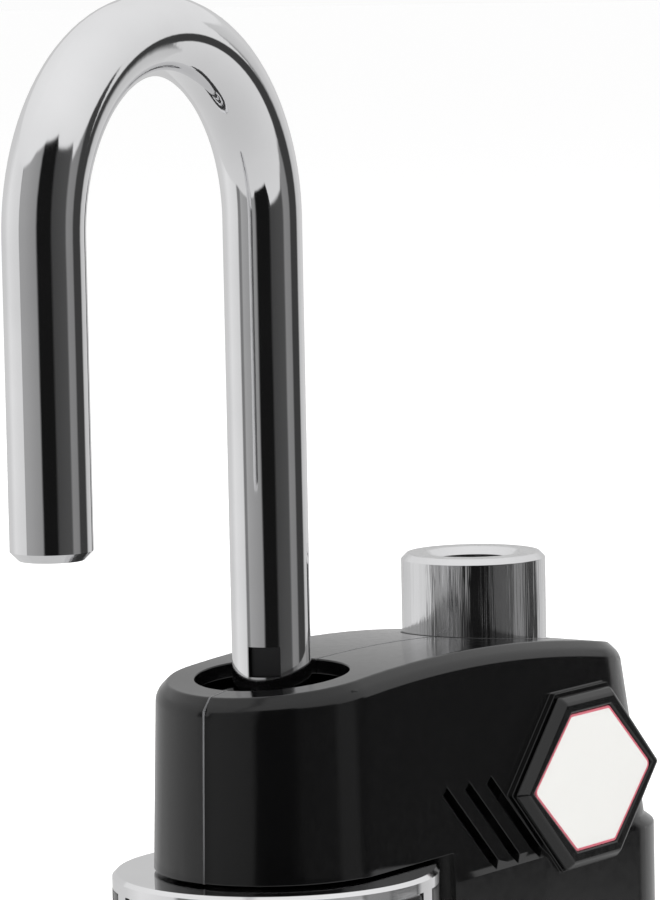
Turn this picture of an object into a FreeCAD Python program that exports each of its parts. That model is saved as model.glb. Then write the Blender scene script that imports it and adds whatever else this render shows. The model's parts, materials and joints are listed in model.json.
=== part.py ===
"""Alarm disc brake lock: a swinging U shackle on a chromed lock drum, beside a plastic alarm housing.

Frame: millimetres, +Z up. The origin is on the base plane, on the axis of the shackle's long leg.
+X runs from the long leg to the receiver, and -Y is the front, with the hexagonal badge.
Rest: unlocked, shackle raised to its stop and swung half a turn away from the receiver.
"""
import FreeCAD, Part
import Sketcher
import math
import os
from FreeCAD import Placement, Rotation, Vector

doc = FreeCAD.newDocument("alarm_disc_lock")
sheet = doc.addObject("Spreadsheet::Sheet", "dims")

DIMENSIONS = {
    # Whole lock
    "deck_height": 80, "leg_radius": 6, "leg_spacing": 56.3, "arch_rise": 68.5, "short_leg_gap": 23,
    "lift_stroke": 24, "latch_angle": 22, "rest_turn": 2.3,
    # Lock body: drum, neck and latch arm
    "drum_radius": 25, "drum_height": 49.6, "drum_edge": 0.6, "shoulder_radius": 12.4,
    "shoulder_height": 62, "neck_radius": 11.2, "neck_height": 76.5, "leg_bore_radius": 6.1,
    "foot_height": 45, "spring_bore_radius": 7.3, "band_base": 37.4, "band_top": 47.4, "band_depth": 0.35,
    "band_pocket_count": 16, "pocket_angle": 15, "arm_half_width": 6.2, "channel_base": 55.9,
    "channel_height": 4.1, "channel_half_width": 3.1, "channel_start": 2, "channel_end": 20, "arm_base": 48,
    "cover_tap_offset": 4.65, "seal_recess_radius": 8.4, "seal_recess_depth": 2.5, "seal_thickness": 2.1,
    "seal_gap": 0.12,
    # Long leg's notch and ring groove
    "notch_base": 79.6, "notch_height": 4.6, "notch_half_width": 2.45, "groove_radius": 4.2,
    "stub_radius": 3, "stub_base": 39.7, "tapped_depth": 8, "end_chamfer": 1.3,
    # Lift collar, spring and its seat
    "collar_radius": 7.22, "collar_height": 5, "coil_radius": 6.15, "coil_wire": 0.65, "coil_turns": 7.5,
    "seat_radius": 8.2, "seat_height": 3.4, "spanner_hole_radius": 1.1, "spanner_hole_depth": 1.8,
    "spanner_hole_offset": 5, "screw_head_radius": 4.4, "screw_head_height": 2, "collar_screw_length": 7,
    # Key lock
    "plug_offset": 15.6, "barrel_radius": 7.2, "barrel_base": 0.6, "barrel_top": 35, "plug_radius": 5.2,
    "plug_base": 1.2, "plug_top": 33.7, "tail_radius": 3, "tail_top": 52.9, "tang_top": 55.2,
    "tang_width": 3.4, "keyway_width": 2.2, "keyway_height": 7.6, "keyway_depth": 27, "wafer_pitch": 3.8,
    "wafer_thickness": 1.2, "wafer_count": 6, "wafer_start": 5.5, "wafer_width": 4, "wafer_length": 8.8,
    "wafer_window": 5.4, "wafer_step": 0.35, "plug_flange_radius": 6.2, "plug_flange_height": 1.8,
    "cam_radius": 4.2, "cam_base": 53, "cam_top": 55.8, "cam_throw": 1.27, "cam_lag": 45,
    "cam_pin_radius": 1.5, "cam_pin_top": 59.4, "cam_slot_end": 0.85,
    # Latch bolt and cover
    "bolt_base": 56, "bolt_height": 3.8, "bolt_half_width": 3, "nose_half_width": 2.2, "nose_tip": 6.4,
    "nose_root": 11, "bolt_end": 19.6, "cover_base": 60.05, "cover_thickness": 1.4, "cap_radius": 1.3,
    "cap_height": 0.45, "cap_screw_reach": 2.9,
    # Crossbar and receiver
    "bar_base": 62, "bar_thickness": 6, "bar_half_width": 12.5, "ring_nut_radius": 14, "ring_nut_height": 5,
    "nut_notch": 3, "nut_notch_base": 3.2, "nut_notch_count": 4, "receiver_nut_radius": 11,
    "receiver_nut_gap": 0.4, "sleeve_radius": 11.6, "sleeve_top": 92, "sleeve_bore_radius": 6.4,
    "sleeve_floor": 78.5, "sleeve_mouth": 1.2, "sleeve_edge": 0.9, "plunger_gap": 0.08,
    "plunger_point_radius": 1, "plunger_point_height": 0.9, "stem_radius": 8, "stem_base": 58,
    "plunger_radius": 2.9, "plunger_top": 80.9, "plunger_base": 56, "flange_radius": 4.5,
    "flange_height": 1.9, "plunger_tip_base": 53.2, "plunger_tip_radius": 1.3, "small_coil_radius": 2.7,
    "small_coil_wire": 0.25, "small_coil_turns": 4.5, "switch_length": 12.8, "switch_width": 5.9,
    "switch_height": 6.5, "switch_base": 43, "switch_button_radius": 1.2, "switch_button_rise": 0.5,
    # Shell halves
    "shell_wall": 2.2, "deck_thickness": 2.4, "deck_radius": 17.6, "waist_radius": 18.7,
    "skirt_radius": 19.3, "deck_end": 65.5, "waist_end": 72.1, "skirt_end": 74, "waist_height": 47,
    "skirt_top": 45.5, "shell_floor": 50, "floor_thickness": 2, "drum_clearance_radius": 28,
    "crown_along": 23, "crown_height": 80.4, "crown_radius": 303, "deck_chamfer": 1.7, "deck_round": 0.7,
    "parting_gap": 0.06, "leg_hole_radius": 11.8, "receiver_hole_radius": 11.9, "deck_hole_depth": 8,
    "neck_hole_radius": 16, "arm_gap": 0.5, "cavity_shift": 0.6, "post_length": 14,
    # Badge and sounder slots
    "badge_along": 58.2, "badge_height": 56.5, "badge_lean": 2, "badge_half_width": 17.6,
    "badge_half_height": 10.9, "badge_half_flat": 5.8, "frame_rim": 2.9, "boss_face": 19.4,
    "frame_face": 21.2, "badge_face": 20.5, "rim_flat_share": 0.6, "rim_wide_share": 1.2,
    "badge_boss_depth": 6, "boss_rim": 0.4, "frame_bevel": 1.1, "slot_start": 32.4, "slot_height": 60.4,
    "slot_length": 19, "slot_width": 1.7, "slot_pitch": 6.2, "slot_count": 3, "slot_tilt": 45,
    "slot_cut_start": 10, "slot_cut_depth": 12,
    # Alarm inside
    "board_front": -4.6, "board_thickness": 1.6, "board_left": 37.8, "board_right": 80, "board_base": 16,
    "board_top": 52.6, "sounder_along": 43.4, "sounder_height": 44.5, "sounder_radius": 11.8,
    "sounder_front": -14.4, "sounder_depth": 9.6, "cell_radius": 5.25, "cell_length": 44.5, "cell_base": 5,
    "cell_first": 45.4, "cell_pitch": 11.4, "cell_count": 3, "cell_row": 9.4, "tray_wall": 0.9,
    "cover_plate": 2.6, "cover_inset": 0.5, "sounder_mouth_radius": 4, "sounder_mouth_depth": 1.5,
    "sounder_seal_thickness": 1.3, "sounder_seal_bore": 9.6, "sensor_radius": 2.4, "sensor_length": 9,
    "sensor_along": 75, "sensor_base": 24, "sensor_cap_radius": 2, "sensor_cap_rise": 0.5,
    "cell_button_radius": 1.9, "cell_button_height": 1, "cell_gap": 0.25, "tray_side": 0.65,
    "tray_height": 46.6, "tray_base": 4.8, "tray_pocket_top": 50, "contact_width": 7,
    "contact_thickness": 0.4, "contact_cone_base": 2.6, "contact_cone_tip": 1.2, "contact_cone_height": 1.3,
    "cover_gap": 0.15, "cover_sink_depth": 1.3,
    # Fasteners
    "screw_radius": 1.5, "screw_pilot_radius": 1.55, "screw_head": 2.4, "screw_boss_radius": 3.6,
    "post_radius": 3.2, "small_screw_radius": 0.8, "screw_head_thickness": 2, "screw_seat_depth": 5,
    "screw_engagement": 10, "socket_radius": 1.2, "socket_depth": 1.2, "pilot_depth": 10,
    "through_depth": 24, "sink_gap": 0.3, "sink_depth": 12, "cover_screw_radius": 1,
    "cover_screw_length": 10, "cover_screw_head_radius": 2, "cover_screw_head_height": 1.2,
    "screw_slot_length": 3, "screw_slot_width": 0.6, "screw_slot_depth": 0.6,
    # Gaps between parts, how far joined shapes run into each other, and how far cuts reach past the material
    "contact_gap": 0.02, "seat_gap": 0.05, "running_gap": 0.06, "loose_gap": 0.1, "overlap": 0.5,
    "overcut": 1, "crown_reach": 100, "cut_margin": 20, "split_reach": 70,
}

# Screws that join the shell halves: how far along and up each stands, and how deep its boss is
SHELL_SCREW_PARTS = ("along", "height", "boss_depth")
SHELL_SCREWS = {
    "upper_left": (27, 73, 16.2), "upper_right": (75, 68, 13.4),
    "lower_right": (85, 30, 11.4), "lower_left": (33.6, 30, 17.4),
}
# Screws of the battery cover: how far along each pair stands, and how far it is from the parting plane
COVER_SCREW_PARTS = ("along", "depth")
COVER_SCREWS = {"left": (35.2, 13.7), "right": (79.4, 11.7)}
# Components on the circuit board: where each starts, and its size
CHIP_PARTS = ("along", "height", "length", "tall", "thick")
CHIPS = {"driver": (60, 24, 9, 6, 1.8), "timer": (70, 36, 6, 5, 1.4), "coil": (66, 46, 8, 8, 4.5)}

for kind, parts, rows in (("shell_screw", SHELL_SCREW_PARTS, SHELL_SCREWS),
                          ("cover_screw", COVER_SCREW_PARTS, COVER_SCREWS), ("chip", CHIP_PARTS, CHIPS)):
    for row_name, numbers in rows.items():
        for part, number in zip(parts, numbers):
            DIMENSIONS[f"{kind}_{row_name}_{part}"] = number

for row, (alias, number) in enumerate(DIMENSIONS.items(), start=1):
    sheet.set(f"A{row}", alias)
    sheet.set(f"B{row}", str(number))
    sheet.setAlias(f"B{row}", alias)
doc.recompute()

DISTANCE_ALONG = "DistanceX"
DISTANCE_UP = "DistanceY"
UPWARDS = Vector(0, 0, 1)
QUARTER_TURN = math.pi / 2
FULL_TURN = 360.0
HALF_TURN = 180.0
LEAST_CUT = 0.01
SAME_HEIGHT = 1e-4
SAME_RADIUS = 0.01


def value(formula):
    """The number a formula of sheet aliases gives, such as "dims.deck_height - 2"."""
    return float(sheet.evalExpression(formula.replace("dims.", "")))


def bind(thing, prop, formula):
    thing.setExpression(prop, formula)


def sizes_of(row, parts):
    """The sheet's formulas for each part of a screw's or component's row."""
    return [f"dims.{row}_{part}" for part in parts]


# ---------------------------------------------------------------- sketches and bodies

def origin_plane(body, role):
    return next(f for f in body.Origin.OriginFeatures if f.Role == role)


def new_body(name):
    body = doc.addObject("PartDesign::Body", name)
    body.Label = name
    return body


def new_sketch(body, name, role="XY_Plane", offset=None, turn=0.0, lean=0.0):
    """A sketch on one of the body's own origin planes, moved along its normal, turned in it or leaned back."""
    sketch = body.newObject("Sketcher::SketchObject", name)
    sketch.AttachmentSupport = [(origin_plane(body, role), "")]
    sketch.MapMode = "FlatFace"
    rotation = Rotation(Vector(1, 0, 0), -lean).multiply(Rotation(UPWARDS, turn))
    sketch.AttachmentOffset = Placement(Vector(0, 0, 0), rotation)
    if offset is not None:
        bind(sketch, "AttachmentOffset.Base.z", offset)
    return sketch


def constrain(sketch, kind, *items, formula):
    index = sketch.addConstraint(Sketcher.Constraint(kind, *items, value(formula)))
    bind(sketch, f"Constraints[{index}]", formula)


def pin_point(sketch, geometry, point, along, up):
    constrain(sketch, DISTANCE_ALONG, -1, 1, geometry, point, formula=along)
    constrain(sketch, DISTANCE_UP, -1, 1, geometry, point, formula=up)


def add_circle(sketch, radius, along="0", up="0"):
    centre = Vector(value(along), value(up), 0)
    circle = sketch.addGeometry(Part.Circle(centre, UPWARDS, value(radius)))
    constrain(sketch, "Radius", circle, formula=radius)
    pin_point(sketch, circle, 3, along, up)


def add_polygon(sketch, corners):
    """A closed polygon whose every corner is two formulas."""
    points = [Vector(value(along), value(up), 0) for along, up in corners]
    sides = []
    for start, end in zip(points, points[1:] + points[:1]):
        sides.append(sketch.addGeometry(Part.LineSegment(start, end)))
    for side, following in zip(sides, sides[1:] + sides[:1]):
        sketch.addConstraint(Sketcher.Constraint("Coincident", side, 2, following, 1))
    for side, (along, up) in zip(sides, corners):
        pin_point(sketch, side, 1, along, up)


def add_rectangle(sketch, low_along, high_along, low_up, high_up):
    corners = [(low_along, low_up), (high_along, low_up), (high_along, high_up), (low_along, high_up)]
    add_polygon(sketch, corners)


def add_stadium(sketch, end, radius):
    """Two half circles of one radius joined by straight sides: one about the origin, one at the end."""
    reach, size = value(end), value(radius)
    near_circle = Part.Circle(Vector(0, 0, 0), UPWARDS, size)
    far_circle = Part.Circle(Vector(reach, 0, 0), UPWARDS, size)
    near = sketch.addGeometry(Part.ArcOfCircle(near_circle, QUARTER_TURN, 3 * QUARTER_TURN))
    low = sketch.addGeometry(Part.LineSegment(Vector(0, -size, 0), Vector(reach, -size, 0)))
    far = sketch.addGeometry(Part.ArcOfCircle(far_circle, -QUARTER_TURN, QUARTER_TURN))
    high = sketch.addGeometry(Part.LineSegment(Vector(reach, size, 0), Vector(0, size, 0)))
    for first, second in ((near, low), (low, far), (far, high), (high, near)):
        sketch.addConstraint(Sketcher.Constraint("Tangent", first, 2, second, 1))
    pin_point(sketch, near, 3, "0", "0")
    pin_point(sketch, far, 3, end, "0")
    constrain(sketch, "Radius", near, formula=radius)


def add_bay(sketch, end, radius, hollow):
    """A stadium whose near end is a hollow arc about the origin: the floor plan of the alarm bay."""
    reach, size, bite = value(end), value(radius), value(hollow)
    start = math.sqrt(bite * bite - size * size)
    angle = math.asin(size / bite)
    far_circle = Part.Circle(Vector(reach, 0, 0), UPWARDS, size)
    near = sketch.addGeometry(Part.ArcOfCircle(Part.Circle(Vector(0, 0, 0), UPWARDS, bite), -angle, angle))
    low = sketch.addGeometry(Part.LineSegment(Vector(start, -size, 0), Vector(reach, -size, 0)))
    far = sketch.addGeometry(Part.ArcOfCircle(far_circle, -QUARTER_TURN, QUARTER_TURN))
    high = sketch.addGeometry(Part.LineSegment(Vector(reach, size, 0), Vector(start, size, 0)))
    sketch.addConstraint(Sketcher.Constraint("Coincident", near, 1, low, 1))
    sketch.addConstraint(Sketcher.Constraint("Tangent", low, 2, far, 1))
    sketch.addConstraint(Sketcher.Constraint("Tangent", far, 2, high, 1))
    sketch.addConstraint(Sketcher.Constraint("Coincident", high, 2, near, 2))
    sketch.addConstraint(Sketcher.Constraint("Horizontal", low))
    sketch.addConstraint(Sketcher.Constraint("Horizontal", high))
    pin_point(sketch, near, 3, "0", "0")
    pin_point(sketch, far, 3, end, "0")
    constrain(sketch, "Radius", near, formula=hollow)
    constrain(sketch, "Radius", far, formula=radius)


def hexagon(rim="0"):
    """Corners of the badge outline, grown outwards by a rim, in the plane of the front face."""
    flat = f"(dims.badge_half_flat + dims.rim_flat_share * ({rim}))"
    wide = f"(dims.badge_half_width + dims.rim_wide_share * ({rim}))"
    tall = f"(dims.badge_half_height + ({rim}))"
    middle, height = "dims.badge_along", "dims.badge_height"
    return [
        (f"{middle} - {wide}", height), (f"{middle} - {flat}", f"{height} - {tall}"),
        (f"{middle} + {flat}", f"{height} - {tall}"), (f"{middle} + {wide}", height),
        (f"{middle} + {flat}", f"{height} + {tall}"), (f"{middle} - {flat}", f"{height} + {tall}"),
    ]


def badge_sketch(body, name, face):
    """A sketch on the badge's plane, which leans back with the housing's draft and is "face" in front of Y = 0
    at the badge's middle."""
    offset = f"{face} + dims.badge_height * sin(dims.badge_lean * 1 deg)"
    return new_sketch(body, name, "XZ_Plane", offset=offset, lean=value("badge_lean"))


def pad(body, name, sketch, length, backwards=False):
    feature = body.newObject("PartDesign::Pad", name)
    feature.Profile = sketch
    bind(feature, "Length", length)
    feature.Reversed = backwards
    doc.recompute()
    return feature


def pocket(body, name, sketch, length, backwards=False):
    """Cuts a sketch into the body, and stops the build if that removes nothing."""
    before = body.Shape.Volume
    feature = body.newObject("PartDesign::Pocket", name)
    feature.Profile = sketch
    bind(feature, "Length", length)
    feature.Reversed = backwards
    doc.recompute()
    assert body.Shape.Volume < before - LEAST_CUT, f"{name} cuts nothing"
    return feature


def revolve(body, name, sketch):
    feature = body.newObject("PartDesign::Revolution", name)
    feature.Profile = sketch
    feature.ReferenceAxis = (sketch, ["V_Axis"])
    feature.Angle = FULL_TURN
    doc.recompute()
    return feature


def groove(body, name, sketch, angle=FULL_TURN):
    """Turns a sketch round the body's axis, a full turn or a centred part of one, and removes what it sweeps."""
    before = body.Shape.Volume
    feature = body.newObject("PartDesign::Groove", name)
    feature.Profile = sketch
    feature.ReferenceAxis = (sketch, ["V_Axis"])
    feature.Angle = angle
    feature.Midplane = angle < FULL_TURN
    doc.recompute()
    assert body.Shape.Volume < before - LEAST_CUT, f"{name} cuts nothing"
    return feature


def loft(body, kind, name, first, second):
    feature = body.newObject(f"PartDesign::{kind}", name)
    feature.Profile = first
    feature.Sections = [second]
    feature.Ruled = True
    doc.recompute()
    return feature


def edges_where(shape, wanted):
    return [f"Edge{i}" for i, edge in enumerate(shape.Edges, start=1) if wanted(edge)]


def at_height(height):
    """A test for edges that lie flat at that height."""
    def wanted(edge):
        box = edge.BoundBox
        return abs(box.ZMin - height) < SAME_HEIGHT and abs(box.ZMax - height) < SAME_HEIGHT
    return wanted


def dress(body, kind, name, base, edges, size):
    feature = body.newObject(f"PartDesign::{kind}", name)
    feature.Base = (base, edges)
    bind(feature, "Radius" if kind == "Fillet" else "Size", size)
    doc.recompute()
    return feature


# ---------------------------------------------------------------- Part primitives

def place(thing, along="0", depth="0", up="0", rotation=None):
    if rotation is not None:
        thing.Placement = Placement(Vector(0, 0, 0), rotation)
    for axis, formula in (("x", along), ("y", depth), ("z", up)):
        bind(thing, f"Placement.Base.{axis}", formula)
    return thing


def rod(name, radius, height, along="0", depth="0", up="0", rotation=None):
    thing = doc.addObject("Part::Cylinder", name)
    bind(thing, "Radius", radius)
    bind(thing, "Height", height)
    return place(thing, along, depth, up, rotation)


def block(name, length, width, height, along="0", depth="0", up="0"):
    thing = doc.addObject("Part::Box", name)
    bind(thing, "Length", length)
    bind(thing, "Width", width)
    bind(thing, "Height", height)
    return place(thing, along, depth, up)


def fuse(name, *things):
    thing = doc.addObject("Part::MultiFuse", name)
    thing.Shapes = list(things)
    return thing


def cut(name, base, *tools):
    thing = doc.addObject("Part::Cut", name)
    thing.Base = base
    thing.Tool = tools[0] if len(tools) == 1 else fuse(name + "_tools", *tools)
    return thing


def group(name, *things):
    thing = doc.addObject("Part::Compound", name)
    thing.Links = list(things)
    return thing


FACING_FRONT = Rotation(Vector(1, 0, 0), 90)
FACING_REAR = Rotation(Vector(1, 0, 0), -90)
LATCH_TURN = value("latch_angle")
PLUG_ALONG = "dims.plug_offset * cos(dims.latch_angle * 1 deg)"
PLUG_DEPTH = "dims.plug_offset * sin(dims.latch_angle * 1 deg)"


# ---------------------------------------------------------------- shackle and its foot

def make_shackle():
    body = new_body("shackle")
    path = new_sketch(body, "shackle_path", "XZ_Plane")
    low, arch = value("foot_height"), value("deck_height + arch_rise")
    spacing = value("leg_spacing")
    short_end = value("deck_height + short_leg_gap")
    arch_circle = Part.Circle(Vector(-spacing / 2, arch, 0), UPWARDS, spacing / 2)
    leg = path.addGeometry(Part.LineSegment(Vector(0, low, 0), Vector(0, arch, 0)))
    bend = path.addGeometry(Part.ArcOfCircle(arch_circle, 0, math.pi))
    short = path.addGeometry(Part.LineSegment(Vector(-spacing, arch, 0), Vector(-spacing, short_end, 0)))
    path.addConstraint(Sketcher.Constraint("Coincident", leg, 2, bend, 1))
    path.addConstraint(Sketcher.Constraint("Coincident", bend, 2, short, 1))
    pin_point(path, leg, 1, "0", "dims.foot_height")
    pin_point(path, leg, 2, "0", "dims.deck_height + dims.arch_rise")
    pin_point(path, bend, 3, "-dims.leg_spacing / 2", "dims.deck_height + dims.arch_rise")
    constrain(path, DISTANCE_UP, -1, 1, short, 1, formula="dims.deck_height + dims.arch_rise")
    pin_point(path, short, 2, "-dims.leg_spacing", "dims.deck_height + dims.short_leg_gap")
    section = new_sketch(body, "shackle_section", offset="dims.foot_height")
    add_circle(section, "dims.leg_radius")
    doc.recompute()
    bar = body.newObject("PartDesign::AdditivePipe", "shackle_bar")
    bar.Profile = section
    bar.Spine = (path, ["Edge1", "Edge2", "Edge3"])
    doc.recompute()
    end_edges = edges_where(bar.Shape, at_height(short_end))
    dress(body, "Chamfer", "shackle_end_chamfer", bar, end_edges, "dims.end_chamfer")
    ring = new_sketch(body, "shackle_ring_profile", "XZ_Plane")
    ring_base = "dims.notch_base - dims.lift_stroke"
    add_rectangle(ring, "dims.groove_radius", "dims.leg_radius + dims.overcut",
                  ring_base, f"{ring_base} + dims.notch_height")
    groove(body, "shackle_ring", ring)
    notch = new_sketch(body, "shackle_notch_profile", offset="dims.notch_base", turn=LATCH_TURN + HALF_TURN)
    add_rectangle(notch, "dims.groove_radius", "dims.leg_radius + dims.overcut",
                  "-dims.notch_half_width", "dims.notch_half_width")
    pocket(body, "shackle_notch", notch, "dims.notch_height", backwards=True)
    stub = new_sketch(body, "shackle_stub_profile", offset="dims.stub_base")
    add_circle(stub, "dims.stub_radius")
    pad(body, "shackle_stub", stub, "dims.foot_height - dims.stub_base")
    tapped = new_sketch(body, "shackle_tapped_profile", offset="dims.stub_base")
    add_circle(tapped, "dims.screw_pilot_radius")
    pocket(body, "shackle_tapped_hole", tapped, "dims.tapped_depth", backwards=True)
    body.Placement = Placement(Vector(0, 0, 0), Rotation(UPWARDS, value("rest_turn")))
    return body


def make_lift_collar():
    base = "dims.foot_height - dims.collar_height - dims.seat_gap"
    ring = rod("lift_collar_ring", "dims.collar_radius", "dims.collar_height", up=base)
    bore = rod("lift_collar_bore", "dims.stub_radius + dims.running_gap",
               "dims.collar_height + 2 * dims.overcut", up=f"{base} - dims.overcut")
    return cut("lift_collar", ring, bore)


def make_collar_screw():
    """The screw under the collar, its head a little below the shackle's stub."""
    head_base = "dims.stub_base - dims.screw_head_height"
    head = rod("collar_screw_head", "dims.screw_head_radius", "dims.screw_head_height", up=head_base)
    shank = rod("collar_screw_shank", "dims.screw_radius", "dims.collar_screw_length",
                up="dims.stub_base - dims.overlap")
    socket = rod("collar_screw_socket", "dims.socket_radius", "dims.socket_depth + dims.overcut",
                 up=f"{head_base} - dims.overcut")
    return cut("collar_screw", fuse("collar_screw_blank", head, shank), socket)


def make_coil(name, radius, wire, turns, base, top, along="0"):
    """A round-wire compression spring between two heights, its wire just clear of both."""
    height = f"(({top}) - ({base}) - 2 * ({wire}) - 2 * dims.seat_gap)"
    start = f"({base}) + ({wire}) + dims.seat_gap"
    helix = doc.addObject("Part::Helix", name + "_line")
    bind(helix, "Radius", radius)
    bind(helix, "Height", height)
    bind(helix, "Pitch", f"{height} / ({turns})")
    place(helix, along, "0", start)
    wire_circle = doc.addObject("Part::Circle", name + "_wire")
    bind(wire_circle, "Radius", wire)
    place(wire_circle, f"({along}) + ({radius})", "0", start, FACING_FRONT)
    coil = doc.addObject("Part::Sweep", name)
    coil.Sections = [wire_circle]
    coil.Spine = (helix, ["Edge1"])
    coil.Solid = True
    coil.Frenet = True
    return coil


def make_shackle_spring():
    return make_coil("shackle_spring", "dims.coil_radius", "dims.coil_wire", "dims.coil_turns",
                     "dims.seat_height", "dims.foot_height - dims.collar_height - dims.seat_gap")


def make_spring_seat():
    """The threaded plug that closes the spring bore, with two holes for a pin spanner."""
    disc = rod("spring_seat_disc", "dims.seat_radius", "dims.seat_height")
    holes = []
    for side in (-1, 1):
        holes.append(rod(f"spring_seat_hole_{side + 1}", "dims.spanner_hole_radius",
                         "dims.spanner_hole_depth + dims.overcut", along=f"{side} * dims.spanner_hole_offset",
                         up="-dims.overcut"))
    return cut("spring_seat", disc, *holes)


# ---------------------------------------------------------------- lock body and key lock

def make_lock_body():
    body = new_body("lock_body")
    profile = new_sketch(body, "lock_body_profile", "XZ_Plane")
    add_polygon(profile, [
        ("0", "0"), ("dims.drum_radius - dims.drum_edge", "0"), ("dims.drum_radius", "dims.drum_edge"),
        ("dims.drum_radius", "dims.drum_height - dims.drum_edge"),
        ("dims.drum_radius - dims.drum_edge", "dims.drum_height"), ("dims.shoulder_radius", "dims.drum_height"),
        ("dims.shoulder_radius", "dims.shoulder_height"), ("dims.neck_radius", "dims.shoulder_height"),
        ("dims.neck_radius", "dims.neck_height"), ("0", "dims.neck_height")])
    revolve(body, "lock_body_turned", profile)
    arm = new_sketch(body, "latch_arm_profile", offset="dims.arm_base", turn=LATCH_TURN)
    add_stadium(arm, "dims.plug_offset", "dims.arm_half_width")
    pad(body, "latch_arm", arm, "dims.channel_base + dims.channel_height - dims.arm_base")
    cuts = [
        ("leg_bore", "dims.leg_bore_radius", "0", "dims.foot_height - dims.overcut", "dims.neck_height"),
        ("spring_bore", "dims.spring_bore_radius", "0", "-dims.overcut", "dims.foot_height + dims.overcut"),
        ("seat_recess", "dims.seat_radius + dims.seat_gap", "0", "-dims.overcut",
         "dims.seat_height + dims.overcut"),
        ("seal_recess", "dims.seal_recess_radius", "0", "dims.neck_height - dims.seal_recess_depth",
         "dims.seal_recess_depth + dims.overcut"),
        ("barrel_bore", "dims.barrel_radius + dims.running_gap", "dims.plug_offset", "-dims.overcut",
         "dims.barrel_top + dims.loose_gap + dims.overcut"),
        ("tail_bore", "dims.tail_radius + dims.loose_gap", "dims.plug_offset", "dims.barrel_top - dims.overcut",
         "dims.cam_base - dims.barrel_top + dims.overcut"),
        ("cam_recess", "dims.cam_radius + 2 * dims.loose_gap", "dims.plug_offset",
         "dims.cam_base - 2 * dims.loose_gap", "dims.channel_base - dims.cam_base + 3 * dims.loose_gap"),
    ]
    for name, radius, along, base, length in cuts:
        sketch = new_sketch(body, name + "_profile", offset=base, turn=LATCH_TURN)
        add_circle(sketch, radius, along)
        pocket(body, name, sketch, length, backwards=True)
    channel = new_sketch(body, "bolt_channel_profile", offset="dims.channel_base", turn=LATCH_TURN)
    add_rectangle(channel, "dims.channel_start", "dims.channel_end",
                  "-dims.channel_half_width", "dims.channel_half_width")
    pocket(body, "bolt_channel", channel, "dims.channel_height + dims.loose_gap", backwards=True)
    taps = new_sketch(body, "cover_tap_profile", offset="dims.channel_base", turn=LATCH_TURN)
    for side in (-1, 1):
        add_circle(taps, "dims.small_screw_radius + dims.seat_gap", "dims.plug_offset",
                   f"{side} * dims.cover_tap_offset")
    pocket(body, "cover_taps", taps, "dims.channel_height + dims.overcut", backwards=True)
    window = new_sketch(body, "band_pocket_profile", "XZ_Plane")
    add_rectangle(window, "dims.drum_radius - dims.band_depth", "dims.drum_radius + dims.overcut",
                  "dims.band_base", "dims.band_top")
    first = groove(body, "band_pocket", window, value("pocket_angle"))
    ring = body.newObject("PartDesign::PolarPattern", "band_pockets")
    ring.Originals = [first]
    ring.Axis = (window, ["V_Axis"])
    ring.Angle = FULL_TURN
    bind(ring, "Occurrences", "dims.band_pocket_count")
    body.Tip = ring
    doc.recompute()
    return body


def make_leg_seal():
    base = "dims.neck_height - dims.seal_recess_depth + dims.loose_gap"
    ring = rod("leg_seal_ring", "dims.seal_recess_radius - dims.loose_gap", "dims.seal_thickness", up=base)
    bore = rod("leg_seal_bore", "dims.leg_radius + dims.seal_gap", "dims.seal_thickness + 2 * dims.overcut",
               up=f"{base} - dims.overcut")
    return cut("leg_seal", ring, bore)


def make_lock_cylinder():
    height = "dims.barrel_top - dims.barrel_base"
    barrel = rod("barrel_blank", "dims.barrel_radius", height, PLUG_ALONG, PLUG_DEPTH, "dims.barrel_base")
    bore = rod("barrel_bore", "dims.plug_radius + dims.running_gap",
               "dims.plug_top - dims.barrel_base + dims.loose_gap + dims.overcut", PLUG_ALONG, PLUG_DEPTH,
               "dims.barrel_base - dims.overcut")
    flange = rod("barrel_flange_seat", "dims.plug_flange_radius + dims.loose_gap",
                 "dims.plug_base - dims.barrel_base + dims.plug_flange_height + dims.loose_gap + dims.overcut",
                 PLUG_ALONG, PLUG_DEPTH, "dims.barrel_base - dims.overcut")
    tail = rod("barrel_tail_hole", "dims.tail_radius + dims.running_gap", "dims.barrel_top", PLUG_ALONG,
               PLUG_DEPTH, "dims.barrel_base + dims.overcut")
    return cut("lock_cylinder", barrel, bore, flange, tail)


def wafer_height(index):
    return f"dims.plug_base + dims.wafer_start + {index} * dims.wafer_pitch"


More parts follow.
